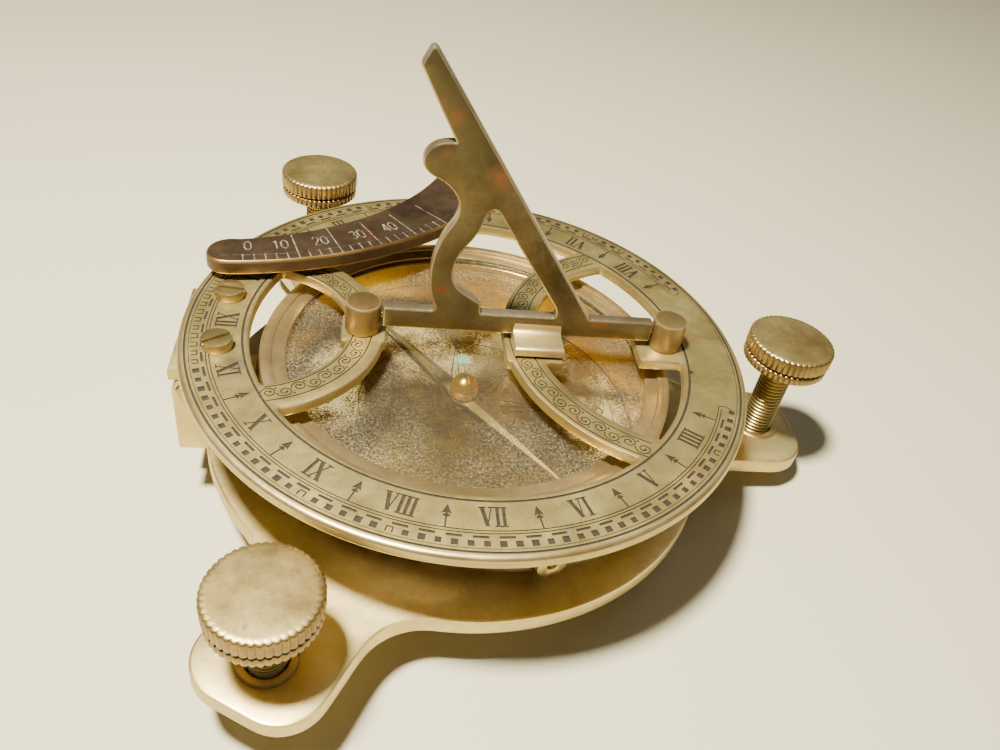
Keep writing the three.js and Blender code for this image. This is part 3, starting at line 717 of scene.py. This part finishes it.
def hour_marks():
    """The hours' numerals, and an arrow halfway between each two."""
    marks = []
    for k, text in enumerate(HOURS):
        marks += on_circle(roman(text, NUMERAL_H), NUMERAL_R, 180 + k * HOUR_STEP)
    for k, text in enumerate(AFTERNOON):
        marks += on_circle(roman(text, NUMERAL_H), NUMERAL_R, 180 - (k + 1) * HOUR_STEP)
    arrow = [
        bar(0, -2.2, 0, 0.6, 0.26),
        [(-0.75, 0.35), (0, 0.62), (0.75, 0.35), (0, 2.1)],
        [(-0.62, 0.0), (0, 0.5), (0.62, 0.0), (0, -0.35)],
    ]
    for k in range(len(HOURS)):
        for side in (1, -1):
            marks += on_circle(arrow, ARROW_R, 180 + side * (HOUR_STEP / 2 + k * HOUR_STEP))
    return marks


def scroll_marks(x, r0, r1, facing, reach):
    """A running chain of curls between two border lines, along one arm of the dial."""
    mid, height = (r0 + r1) / 2, r1 - r0
    marks = [band(r - 0.11, r + 0.11, facing - reach, facing + reach, x, step=2) for r in (r0, r1)]
    pitch = height * 0.78
    step = math.degrees(pitch / mid)

    def place(along, across):
        a = math.radians(facing) + along / mid
        return x + (mid + across) * math.cos(a), (mid + across) * math.sin(a)

    count = int((reach - 1.5) / step)
    for k in range(-count, count + 1):
        if abs(k * step) < 10:
            continue
        side = 1 if k % 2 else -1
        lift = side * height * 0.06
        line = []
        for i in range(27):
            turn = math.radians(180 - i * 20)
            curl = pitch * (0.54 - 0.42 * i / 26)
            line.append(place(k * pitch + curl * math.cos(turn), lift + side * curl * math.sin(turn) * 0.86))
        marks.append(ribbon(line, 0.2))
        marks.append(circle(0.24, *line[-1], n=8))
        marks.append(circle(0.2, *place((k + 0.5) * pitch, side * height * 0.3), n=8))
    return marks


def arm_angle(x, r, limit):
    """Half the angle over which a circle about (x, 0) stays inside radius limit."""
    cosine = (limit ** 2 - x ** 2 - r ** 2) / (2 * abs(x) * r)
    return math.degrees(math.acos(max(-1, min(1, -cosine))))


def crossing(x, r):
    """Where a circle about (x, 0) meets the dial's inner edge, with y above 0."""
    px = (DIAL_IN_R ** 2 - r ** 2 + x ** 2) / (2 * x)
    return px, math.sqrt(DIAL_IN_R ** 2 - px ** 2)


def angle_of(px, py, x=0.0):
    return math.degrees(math.atan2(py, px - x))


def boss_angle(half_width, r):
    """Half the angle that a boss takes on a circle."""
    return math.degrees(math.asin(half_width / r))


def dial_holes():
    """The dial's three windows, with the bosses and the lug that stand into them."""
    (lx, l_in, l_out), (rx, r_in, r_out) = LEFT_ARM, RIGHT_ARM
    a = angle_of(*crossing(lx, l_in))
    b = angle_of(*crossing(lx, l_in), lx)
    boss = boss_angle(POST_BOSS, l_in)
    left = arc(DIAL_IN_R, 0, 0, a, 360 - a, 24)
    left += arc(l_in, lx, 0, -b, -boss, 24) + [(-23.2, -POST_BOSS), (-23.2, POST_BOSS)]
    left += arc(l_in, lx, 0, boss, b, 24)

    a0 = angle_of(*crossing(rx, r_out))
    a1 = angle_of(*crossing(lx, l_out))
    b1 = angle_of(*crossing(lx, l_out), lx)
    b0 = angle_of(*crossing(rx, r_out), rx)
    left_boss = boss_angle(POST_BOSS, l_out)
    right_boss = boss_angle(FOOT_BOSS, r_out)
    middle = arc(DIAL_IN_R, 0, 0, a0, a1, 40)
    middle += arc(l_out, lx, 0, b1, left_boss, 24) + [(-15.4, POST_BOSS), (-15.4, -POST_BOSS)]
    middle += arc(l_out, lx, 0, -left_boss, -b1, 24)
    middle += arc(DIAL_IN_R, 0, 0, -a1, -a0, 40)
    middle += arc(r_out, rx, 0, -b0, -180 + right_boss, 30) + [(5.6, -FOOT_BOSS), (5.6, FOOT_BOSS)]
    middle += arc(r_out, rx, 0, 180 - right_boss, b0, 30)

    a2 = angle_of(*crossing(rx, r_in))
    b2 = angle_of(*crossing(rx, r_in), rx)
    inner_boss = boss_angle(FOOT_BOSS, r_in)
    lug = boss_angle(LUG, DIAL_IN_R)
    right = arc(r_in, rx, 0, b2, 180 - inner_boss, 30) + [(15.9, FOOT_BOSS), (15.9, -FOOT_BOSS)]
    right += arc(r_in, rx, 0, 180 + inner_boss, 360 - b2, 30)
    right += arc(DIAL_IN_R, 0, 0, -a2, -lug, 16) + [(30.4, -LUG), (30.4, LUG)]
    right += arc(DIAL_IN_R, 0, 0, lug, a2, 16)
    return [softened(loop) for loop in (left, middle, right)]


SCROLL_END = DIAL_IN_R + 0.3
ring_marks = border_marks() + minute_marks() + hour_marks()
ring_marks += scroll_marks(LEFT_ARM[0], 17.5, 20.7, 0, arm_angle(LEFT_ARM[0], 19.3, SCROLL_END))
ring_marks += scroll_marks(RIGHT_ARM[0], 29.0, 32.4, 180, arm_angle(RIGHT_ARM[0], 31, SCROLL_END))
rim = [(0.0, 0.7), (0.12, 0.35), (0.4, 0.12), (0.75, 0.0)]
ring_mesh = slab(circle(DIAL_R, n=240), dial_holes(), DIAL_BOTTOM, DIAL_TOP, rim, chamfer(0.3),
                 ring_marks, 0.16, hole_edge=chamfer(0.32))
obj_from("dial_ring_engraved", ring_mesh, "dial",
         [dial_brass, dial_edge, engraved], 35, ["dial_ring"])

SHANK_R, RIVET_R = 1.6, 2.3


def turned_post(name):
    """A post that stands on the dial, with its shank through it and riveted below."""
    low, high = node_box(name)
    centre_x, r, top = (low.x + high.x) / 2, (high.x - low.x) / 2, high.z
    foot, under = DIAL_TOP + 0.05, DIAL_BOTTOM - 0.05
    profile = [(0, low.z), (RIVET_R - 0.2, low.z), (RIVET_R, low.z + 0.25), (RIVET_R, under),
               (SHANK_R, under), (SHANK_R, foot), (r - 0.15, foot), (r, foot + 0.15),
               (r, top - 0.35), (r - 0.12, top - 0.12), (r - 0.4, top - 0.03), (0, top)]
    # Profile segments 8 and 9, the top chamfer, take the lighter edge brass as a painted highlight.
    bm = moved(lathe(profile, 72, [0] * 8 + [1, 1, 0]), Matrix.Translation((centre_x, 0, 0)))
    obj_from(name + "_turned", bm, "dial", [post_brass, dial_edge], 35, [name])


turned_post("post_left")
turned_post("post_right")


# ---------- gnomon ----------
def bezier(p0, p1, p2, p3, n=16):
    out = []
    for i in range(1, n + 1):
        t = i / n
        u = 1 - t
        out.append(tuple(u ** 3 * a + 3 * u * u * t * b + 3 * u * t * t * c + t ** 3 * d
                         for a, b, c, d in zip(p0, p1, p2, p3)))
    return out


def quadratic(p0, p1, p2, n=8):
    return [tuple((1 - t) ** 2 * a + 2 * (1 - t) * t * b + t * t * c for a, b, c in zip(p0, p1, p2))
            for t in (i / n for i in range(1, n + 1))]


gnomon_low, gnomon_high = node_box("gnomon")
BAR_LOW, BAR_HIGH = 1.3, 5.2
left_x, right_x = gnomon_low.x, gnomon_high.x
outline = [(left_x, BAR_LOW), (right_x, BAR_LOW), (right_x, BAR_HIGH), (20.5, BAR_HIGH), (-10.9, 49.9)]
outline += quadratic((-10.9, 49.9), (-11.6, 50.6), (-12.1, 49.6))
outline += [(-13.2, 47.4), (-6.9, 36.3)]
outline += bezier((-6.9, 36.3), (-11.4, 36.6), (-13.6, 32.4), (-9.8, 30.5))
outline += bezier((-9.8, 30.5), (-6.4, 29.2), (-4, 26), (-6.2, 22.3))
outline += bezier((-6.2, 22.3), (-9, 18), (-10, 11), (-7.2, BAR_HIGH + 0.6))
outline += [(-7.9, BAR_HIGH), (left_x, BAR_HIGH)]
window = [(0.6, BAR_HIGH), (0.4, 7.4)]
window += bezier((0.4, 7.4), (-3.2, 9.6), (-5.4, 10.4), (-5, 14.4))
window += bezier((-5, 14.4), (-4.5, 18.5), (-1.6, 19.2), (-0.9, 24.2))
window += quadratic((-0.9, 24.2), (0.2, 27), (1.6, 24.6)) + [(13.5, 7.7)]
window += quadratic((13.5, 7.7), (14.3, 6.4), (14, BAR_HIGH))
upright = Matrix.Translation((0, GNOMON_T / 2, DIAL_TOP)) @ Matrix.Rotation(math.pi / 2, 4, "X")
gnomon_mesh = slab(softened(outline, 0.3, 1), [softened(window, 0.3, 2)], 0, GNOMON_T,
                   chamfer(0.3), chamfer(0.3), wall=1)
obj_from("gnomon_plate", moved(gnomon_mesh, upright), "gnomon",
         [gnomon_brass, gnomon_edge], 35, ["gnomon"])

FOOT_X0, FOOT_X1, FOOT_REACH, FOOT_LOW, FOOT_T = 6.9, 15.7, 6.5, 0.35, 1.75
foot_top = FOOT_LOW + FOOT_T
foot_back = GNOMON_FRONT - 0.02
side_view = [(-0.4, 3.6), (foot_back, 3.6), (foot_back, 3.4)]
side_view += quadratic((foot_back, 3.4), (foot_back - 0.1, foot_top + 0.05), (-2.5, foot_top))
side_view += [(-FOOT_REACH + 0.9, foot_top)]
side_view += quadratic((-FOOT_REACH + 0.9, foot_top), (-FOOT_REACH, foot_top), (-FOOT_REACH, foot_top - 0.8))
side_view += [(-FOOT_REACH, FOOT_LOW + 0.3), (-FOOT_REACH + 0.3, FOOT_LOW), (-0.4, FOOT_LOW)]
swing = Matrix(((0, 0, 1, FOOT_X0), (1, 0, 0, 0), (0, 1, 0, DIAL_TOP), (0, 0, 0, 1)))
foot_mesh = slab(side_view, [], 0, FOOT_X1 - FOOT_X0, chamfer(0.22), chamfer(0.22), wear=0)
obj_from("gnomon_foot", moved(foot_mesh, swing), "gnomon", [tab_brass, tab_brass], 35)

# ---------- latitude arc ----------
# The bar's two long edges, each a circle's radius and centre.
NEAR = (68.4, -51.7, 79.4)
FAR = (56.4, -56.5, 74.4)
ARC_T = 2.8
PIVOT_Y, PIVOT_Z = 52.9, 20.9
PIVOT_R, PIN_BORE = 1.8, 0.8
KNUCKLE_X, KNUCKLE_LEN = -1.8, 8.4


def at_x(edge, x):
    """The angle at which the lower half of an edge's circle reaches x."""
    r, cx, _ = edge
    return -math.degrees(math.acos((x - cx) / r))


arc_loop = arc(*NEAR, at_x(NEAR, -44), at_x(NEAR, 4), 60)
arc_loop += [(6.9, 46), (6.9, PIVOT_Y + PIVOT_R), (-2.1, PIVOT_Y + PIVOT_R)]
arc_loop += arc(*FAR, at_x(FAR, -5), at_x(FAR, -43), 50)
end_point = arc_loop[-1]
arc_loop += bezier(end_point, (-49.5, 20), (-50, 11), (NEAR[1] + 7.7, NEAR[2] - 67.965), 20)[:-1]

ARC_TICK = 2.05
ARC_DIVIDERS = (5, 9, 13, 17, 21)
ARC_FIRST_X = -41.3


def arc_marks():
    r, cx, cy = NEAR
    marks = [band(r - 2.3, r - 2.12, at_x(NEAR, -45.6), at_x(NEAR, 5.0), cx, cy, 2)]
    first, pitch = at_x(NEAR, ARC_FIRST_X), math.degrees(ARC_TICK / r)
    for k in range(22):
        ux, uy = at_angle(1, first + k * pitch)
        inner, outer = r - (9.4 if k in ARC_DIVIDERS else 2.6), r - 0.4
        marks.append(bar(cx + inner * ux, cy + inner * uy, cx + outer * ux, cy + outer * uy, 0.24))
    for at, text in zip((0.5, 3.6, 7.6, 11.6, 15.4), ("0", "10", "20", "30", "40")):
        digits = lettering(text, 2.9, 1.15, 0.3)
        marks += on_circle(digits, r - 5.4, first + at * pitch, cx, cy)
    return marks


arc_top_z = DIAL_TOP + 4.3
arc_mesh = slab(softened(arc_loop, 0.4, 2), [], arc_top_z - ARC_T, arc_top_z,
                [(0.0, 0.5), (0.12, 0.2), (0.35, 0.0)], chamfer(0.3), arc_marks(), 0.14)
obj_from("latitude_arc_bar", arc_mesh, "arc", [bronze, bronze_edge, bronze_mark], 35,
         ["latitude_arc"])

knuckle_loop = arc(PIVOT_R, PIVOT_Y, PIVOT_Z, -180, 0, 24)
knuckle_loop += [(PIVOT_Y + PIVOT_R, DIAL_TOP + 1.6), (PIVOT_Y - PIVOT_R, DIAL_TOP + 1.6)]
along_x = Matrix(((0, 0, 1, KNUCKLE_X), (1, 0, 0, 0), (0, 1, 0, 0), (0, 0, 0, 1)))
knuckle_mesh = slab(knuckle_loop, [circle(PIN_BORE, PIVOT_Y, PIVOT_Z, 24)], 0, KNUCKLE_LEN,
                    chamfer(0.2), chamfer(0.2), hole_edge=chamfer(0.1), wear=0)
obj_from("latitude_arc_knuckle", moved(knuckle_mesh, along_x), "arc", [bronze, bronze_edge])

# ---------- base plate ----------
def plate_outline():
    """A disc with three lobes, each joined to it by two fillets."""
    across = LOBE_HALF + LOBE_FILLET
    out = math.sqrt((PLATE_R + LOBE_FILLET) ** 2 - across ** 2)
    turn = math.degrees(math.atan2(across, out))
    tip, side = LOBE_TIP - LOBE_CORNER, LOBE_HALF - LOBE_CORNER
    loop = []
    for degrees in LOBE_ANGLES.values():
        c, s = at_angle(1, degrees)

        def at(u, w):
            return u * c - w * s, u * s + w * c

        loop += arc(LOBE_FILLET, *at(out, -across), degrees + 180 - turn, degrees + 90, 16)
        loop += arc(LOBE_CORNER, *at(tip, -side), degrees - 90, degrees, 16)
        loop += arc(LOBE_CORNER, *at(tip, side), degrees, degrees + 90, 16)
        loop += arc(LOBE_FILLET, *at(out, across), degrees + 270, degrees + 180 + turn, 16)
        loop += arc(PLATE_R, 0, 0, degrees + turn, degrees + 120 - turn, 30)
    return loop


lobes = {key: at_angle(SCREW_CIRCLE, degrees) for key, degrees in LOBE_ANGLES.items()}
bores = [circle(BUSH_R + 0.05, *at, n=48) for at in lobes.values()]
sinks = [circle(SINK_R, *at_angle(BOX_SCREW_CIRCLE, degrees), 32) for degrees in (30, 150, 270)]
plate_mesh = slab(softened(plate_outline(), 0.9, 1), bores, 0, PLATE_TOP, chamfer(0.45), chamfer(0.3),
                  low_marks=sinks, low_depth=SINK_DEPTH)
obj_from("base_plate_shaped", plate_mesh, "base", [plate_brass, plate_edge], 35,
         ["base_plate"])

for key, (x, y) in lobes.items():
    name = "screw_bush_" + key
    top, flange_low = node_box(name)[1].z, PLATE_TOP + 0.05
    profile = [(BUSH_BORE, 0), (BUSH_R, 0), (BUSH_R, flange_low), (FLANGE_R, flange_low),
               (FLANGE_R, top - 0.2), (FLANGE_R - 0.2, top), (BUSH_BORE + 0.25, top), (BUSH_BORE, top - 0.25)]
    bm = moved(lathe(profile, 72, closed=True), Matrix.Translation((x, y, 0)))
    obj_from(name + "_turned", bm, "base", [plate_edge], 35, [name])

# ---------- levelling screws ----------
TEETH = 46
FLUTE_DEPTH, FLUTED_FROM_R = 0.028, 7.3
PITCH = 0.8
THREAD_DEPTH, ROOT_INSET = 0.17, 0.42
TANG_R, TANG_BORE = 1.4, 1.5


def knurl(low, high):
    """Straight flutes between two heights of a turned knob's outer part."""
    def shape(a, r, z):
        if r < FLUTED_FROM_R or not low <= z <= high:
            return 1
        return 1 - FLUTE_DEPTH * (0.5 - 0.5 * math.cos(TEETH * a)) ** 3
    return shape


def thread(r, start, stop):
    """A helical thread of outer radius r that fades out at both ends."""
    def shape(a, radius, z):
        if radius < r - 0.01:
            return 1
        phase = (z / PITCH - a / TAU) % 1
        crest = 1 - abs(2 * phase - 1)
        fade = min(1, (z - start) / PITCH, (stop - z) / PITCH)
        return 1 - THREAD_DEPTH * (1 - min(1, crest * 1.25) * max(0, fade))
    return shape


def knurled_knob(key, place):
    """A fluted knob with a groove round it, hollow below for the shaft's tang."""
    name = "screw_knob_" + key
    low, high = node_box(name)
    r, z0, z1 = (high.x - low.x) / 2, low.z, high.z
    profile = [(0, z0 + 3.3), (TANG_BORE, z0 + 3.3), (TANG_BORE, z0), (r - 0.55, z0), (r - 0.15, z0 + 0.3),
               (r - 0.12, z0 + 0.5), (r - 0.12, z0 + 1.5), (r - 0.3, z0 + 1.75), (r - 0.7, z0 + 1.85),
               (r - 0.7, z0 + 2.0), (r - 0.3, z0 + 2.1), (r, z0 + 2.35), (r, z0 + 2.6),
               (r, z1 - 0.55), (r - 0.15, z1 - 0.25), (r - 0.55, z1 - 0.06), (r - 1.2, z1 - 0.02),
               (r * 0.6, z1), (0, z1)]
    # Segments 3 to 13, the sides and the groove, take the darker brass as painted shade; the top and the
    # underside take the lighter brass.
    mats = [0] * 3 + [1] * 11 + [0] * 4
    bm = lathe(profile, TEETH * 8, mats, wobble=knurl(z0 + 0.2, z1 - 0.2))
    obj_from(name + "_knurled", moved(bm, place), "knob_" + key,
             [knob_brass, shaded_flute_brass], 50, [name])


def threaded_shaft(key, place):
    """A levelling screw's shaft: a blunt foot, a thread, a neck and a tang inside the knob."""
    name = "screw_shaft_" + key
    low, high = node_box(name)
    r, foot, neck = (high.x - low.x) / 2, low.z, node_box("screw_knob_" + key)[0].z - 0.05
    start, stop = foot + 1.6, neck - 0.5
    steps = int((stop - start) / (PITCH / 8))
    profile = [(0, foot), (1.15, foot), (1.25, foot + 0.05), (r - ROOT_INSET, foot + 1.4)]
    profile += [(r, start + (stop - start) * i / steps) for i in range(steps + 1)]
    profile += [(r - ROOT_INSET, neck - 0.3), (r - 0.1, neck), (TANG_R, neck), (TANG_R, high.z), (0, high.z)]
    bm = lathe(profile, 36, wobble=thread(r, start, stop))
    obj_from(name + "_threaded", moved(bm, place), "shaft_" + key, [screw_brass], 60, [name])


for key, (x, y) in lobes.items():
    screw_place = Matrix.Translation((x, y, 0))
    knurled_knob(key, screw_place)
    threaded_shaft(key, screw_place)

# ---------- compass ----------
box_low, box_high = node_box("compass_box")
BOX_R, BOX_IN_R = box_high.x, 33.2
BOX_FLOOR_T, GROOVE_STEP = 1.25, 3.2


def compass_box():
    """A round box with three fine grooves outside, gilt inside."""
    z, top = box_low.z, box_high.z
    profile = [(0, z), (BOX_R - 0.3, z), (BOX_R, z + 0.3)]
    for k in range(1, 4):
        groove = z + GROOVE_STEP * k
        profile += [(BOX_R, groove), (BOX_R - 0.12, groove + 0.1), (BOX_R, groove + 0.2)]
    profile += [(BOX_R, top), (BOX_IN_R + 0.2, top), (BOX_IN_R, top - 0.2)]
    inner_from = len(profile) - 1
    inside = z + BOX_FLOOR_T
    profile += [(BOX_IN_R, inside + 6.0), (BOX_IN_R - 0.08, inside + 5.9), (BOX_IN_R, inside + 5.8),
                (BOX_IN_R, inside), (0, inside)]
    return lathe(profile, 180, [0] * (inner_from - 1) + [1] * (len(profile) - inner_from))


obj_from("compass_box_turned", compass_box(), "base", [dial_side, gold], 30, ["compass_box"])

glass_low, glass_high = node_box("compass_glass")
GLASS_R = glass_high.x


def bezel_profile():
    """A stepped ring that holds the glass and has a skirt round the box."""
    low, high = node_box("bezel_ring")
    r, top = high.x, high.z
    skirt_r, seat_r, seat_z = BOX_R + 0.15, GLASS_R + 0.15, glass_high.z + 0.1
    return [(skirt_r, low.z), (r - 0.2, low.z), (r, low.z + 0.2), (r, top - 0.55),
            (r - 0.15, top - 0.18), (r - 0.5, top), (35.3, top), (35.12, top - 0.1), (35.0, top - 0.4),
            (34.7, top - 0.47), (33.1, top - 0.47), (32.8, top - 0.6), (BOX_IN_R - 0.5, seat_z),
            (seat_r, seat_z), (seat_r, glass_low.z), (skirt_r, glass_low.z)]


obj_from("bezel_ring_turned", lathe(bezel_profile(), 200, closed=True), "base",
         [bezel_brass], 30, ["bezel_ring"])
pane_profile = [(0, glass_low.z), (GLASS_R, glass_low.z), (GLASS_R, glass_high.z), (0, glass_high.z)]
obj_from("compass_glass_pane", lathe(pane_profile, 160), "base", [glass], 30, ["compass_glass"])

card_low, card_high = node_box("compass_card")
CARD_R = card_high.x
DEGREE_RING_R = 32.3
ROSE_ROOT_R = 5.6


def card_marks():
    """A degree ring with its numbers, eight letters, an eight-pointed rose and sixteen rays."""
    marks = full_rings(DEGREE_RING_R, 32.45, 4) + full_rings(29.9, 30.05, 4) + full_rings(19.6, 19.8, 4)
    marks += full_rings(5.2, 5.35, 8)
    for k in range(180):
        inner = 31.5 if k % 5 else 30.9
        marks.append(bar(*at_angle(inner, 2 * k), *at_angle(DEGREE_RING_R, 2 * k), 0.18))
    for k in range(36):
        marks += on_circle(lettering(str(k * 10), 0.9, 0.5, 0.1), 30.4, 180 - k * 10)
    for k, text in enumerate(("N", "NE", "E", "SE", "S", "SW", "W", "NW")):
        height = 3.2 if k % 2 == 0 else 2.3
        marks += on_circle(lettering(text, height, height * 0.62, 0.4), 26.6, 180 - 45 * k)
    for k in range(8):
        tip = 19.2 if k % 2 == 0 else 14.0
        for side in (1, -1):
            root = at_angle(ROSE_ROOT_R, 45 * k + side * 22.5)
            marks.append(bar(*at_angle(tip, 45 * k), *root, 0.24))
        marks.append(bar(*at_angle(ROSE_ROOT_R, 45 * k), *at_angle(tip - 0.4, 45 * k), 0.22))
    for k in range(16):
        degrees = 22.5 * k + 11.25
        marks.append(bar(*at_angle(20.6, degrees), *at_angle(29.2, degrees), 0.18))
    return marks


card_mesh = slab(circle(CARD_R, n=160), [], card_low.z, card_high.z, chamfer(0.1), chamfer(0.1),
                 card_marks(), 0.1)
obj_from("compass_card_engraved", card_mesh, "base", [card_brass, card_brass, engraved], 35,
         ["compass_card"])

NEEDLE_HALF = 27.5
WAIST = 3.0


def needle_blade():
    """A long lozenge with a ridge along its top, turned to where its CAD solid points."""
    low, high = node_box("compass_needle")
    mid_z = low.z + (high.z - low.z) * 0.45
    outline = [(NEEDLE_HALF, 0.0), (WAIST, 1.6), (0.0, 2.7), (-WAIST, 1.6), (-NEEDLE_HALF, 0.0),
               (-WAIST, -1.6), (0.0, -2.7), (WAIST, -1.6)]
    ridge_xs = (NEEDLE_HALF - 3, WAIST, 0, -WAIST, -NEEDLE_HALF + 3)
    bm = bmesh.new()
    low_row = [bm.verts.new((x, y, low.z)) for x, y in outline]
    mid_row = [bm.verts.new((x, y, mid_z)) for x, y in outline]
    ridge = [bm.verts.new((x, 0, high.z)) for x in ridge_xs]
    for i in range(8):
        j = (i + 1) % 8
        bm.faces.new((low_row[i], low_row[j], mid_row[j], mid_row[i]))
    bm.faces.new(low_row[::-1])
    back = mid_row[4:] + mid_row[:1]
    for i in range(4):
        bm.faces.new((mid_row[i], mid_row[i + 1], ridge[i + 1], ridge[i]))
    for i in range(4):
        bm.faces.new((back[i], back[i + 1], ridge[3 - i], ridge[4 - i]))
    return moved(bm, Matrix.Rotation(math.atan2(low.y, high.x), 4, "Z"))


obj_from("compass_needle_blade", needle_blade(), "needle", [needle_brass], 20,
         ["compass_needle"])


def cap_profile():
    """A domed cap with a groove, hollow below where it sits on the pivot."""
    low, high = node_box("needle_cap")
    z = low.z
    return [(0, z + 1.6), (1, z), (2.5, z), (2.7, z + 0.2), (2.7, z + 1.1), (2.4, z + 1.4), (2.4, z + 1.7),
            (2.6, z + 2.0), (2.3, z + 2.9), (1.7, z + 3.6), (0.9, z + 4.1), (0, high.z)]


obj_from("needle_cap_turned", lathe(cap_profile(), 64), "needle", [gold], 40, ["needle_cap"])

# ---------- fittings carried over with eased edges ----------
from_node("hinge_bracket", 0.18, "base", plate_brass, plate_edge)
for name in ("bracket_screw_1", "bracket_screw_2", "hinge_pin", "side_stud",
             "box_screw_1", "box_screw_2", "box_screw_3"):
    from_node(name, 0.18, "base", screw_brass, screw_brass)
from_node("hinge_leaf", 0.15, "dial", dial_brass, dial_edge)
for name in ("leaf_screw_1", "leaf_screw_2", "arc_screw_1", "arc_screw_2",
             "pivot_pin_left", "pivot_pin_right", "arc_pin"):
    from_node(name, 0.15, "dial", screw_brass, screw_brass)
from_node("arc_bracket", 0.2, "dial", bronze, bronze_edge)
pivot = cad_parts["needle_pivot"]
pivot.data.materials.clear()
pivot.data.materials.append(screw_brass)

# ---------- floor, light and camera ----------
def floor_material():
    n = Nodes(new_material("floor_cloth"))
    tone = n.mix(n.noise(9, 3), srgb(198, 190, 160), srgb(208, 201, 173))
    n.link(tone, n.shader.inputs["Base Color"])
    n.shader.inputs["Roughness"].default_value = 0.95
    n.bump(n.noise(2500, 2), 0.15, 0.0002)
    return n.material


def add_floor(size, gap):
    """A plane through the three feet, which stand at unequal heights."""
    feet = [Vector((*at, node_box("screw_shaft_" + key)[0].z)) * MM for key, at in lobes.items()]
    normal = (feet[1] - feet[0]).cross(feet[2] - feet[0]).normalized()
    bpy.ops.mesh.primitive_plane_add(size=size)
    floor = bpy.context.object
    floor.name = "floor"
    floor.location = (feet[0] + feet[1] + feet[2]) / 3 - normal * gap
    floor.rotation_mode = "QUATERNION"
    floor.rotation_quaternion = normal.to_track_quat("Z", "Y")
    floor.data.materials.append(floor_material())


def add_world(colour, strength):
    world = bpy.data.worlds.new("studio")
    bpy.context.scene.world = world
    world.use_nodes = True
    background = world.node_tree.nodes["Background"]
    background.inputs["Color"].default_value = colour
    background.inputs["Strength"].default_value = strength


def area_light(name, place, target, size, power, colour):
    light = bpy.data.lights.new(name, "AREA")
    light.shape = "DISK"
    light.size = size
    light.energy = power
    light.color = colour
    obj = bpy.data.objects.new(name, light)
    obj.location = place
    obj.rotation_mode = "QUATERNION"
    obj.rotation_quaternion = (Vector(place) - Vector(target)).to_track_quat("Z", "Y")
    bpy.context.scene.collection.objects.link(obj)


LIT_POINT = (0, 0, 0.02)
add_floor(6, 0.0001)
add_world((0.86, 0.82, 0.72, 1), 0.12)
area_light("key", (-0.11, -0.08, 0.37), LIT_POINT, 0.05, 7.0, (1.0, 0.955, 0.79))
area_light("fill", (0.5, 0.3, 0.8), LIT_POINT, 0.5, 0.6, (1.0, 0.96, 0.9))

CAMERA_AT = Vector((-0.01939, -0.11854, 0.08973 + DIAL_TOP * MM))
AZIMUTH, ELEVATION, ROLL = 0.21378, 0.68508, 0.18521
FOCAL_OVER_WIDTH = 0.832
SENSOR = 36
forward = Vector((math.sin(AZIMUTH) * math.cos(ELEVATION), math.cos(AZIMUTH) * math.cos(ELEVATION),
                  -math.sin(ELEVATION)))
level = forward.cross(Vector((0, 0, 1))).normalized()
raised = level.cross(forward)
right = level * math.cos(ROLL) + raised * math.sin(ROLL)
up = raised * math.cos(ROLL) - level * math.sin(ROLL)
camera_data = bpy.data.cameras.new("camera")
camera_data.sensor_width = SENSOR
camera_data.lens = SENSOR * FOCAL_OVER_WIDTH
camera_data.clip_start = 0.01
camera = bpy.data.objects.new("camera", camera_data)
camera.matrix_world = Matrix((
    (right.x, up.x, -forward.x, CAMERA_AT.x),
    (right.y, up.y, -forward.y, CAMERA_AT.y),
    (right.z, up.z, -forward.z, CAMERA_AT.z),
    (0, 0, 0, 1),
))
bpy.context.scene.collection.objects.link(camera)
bpy.context.scene.camera = camera
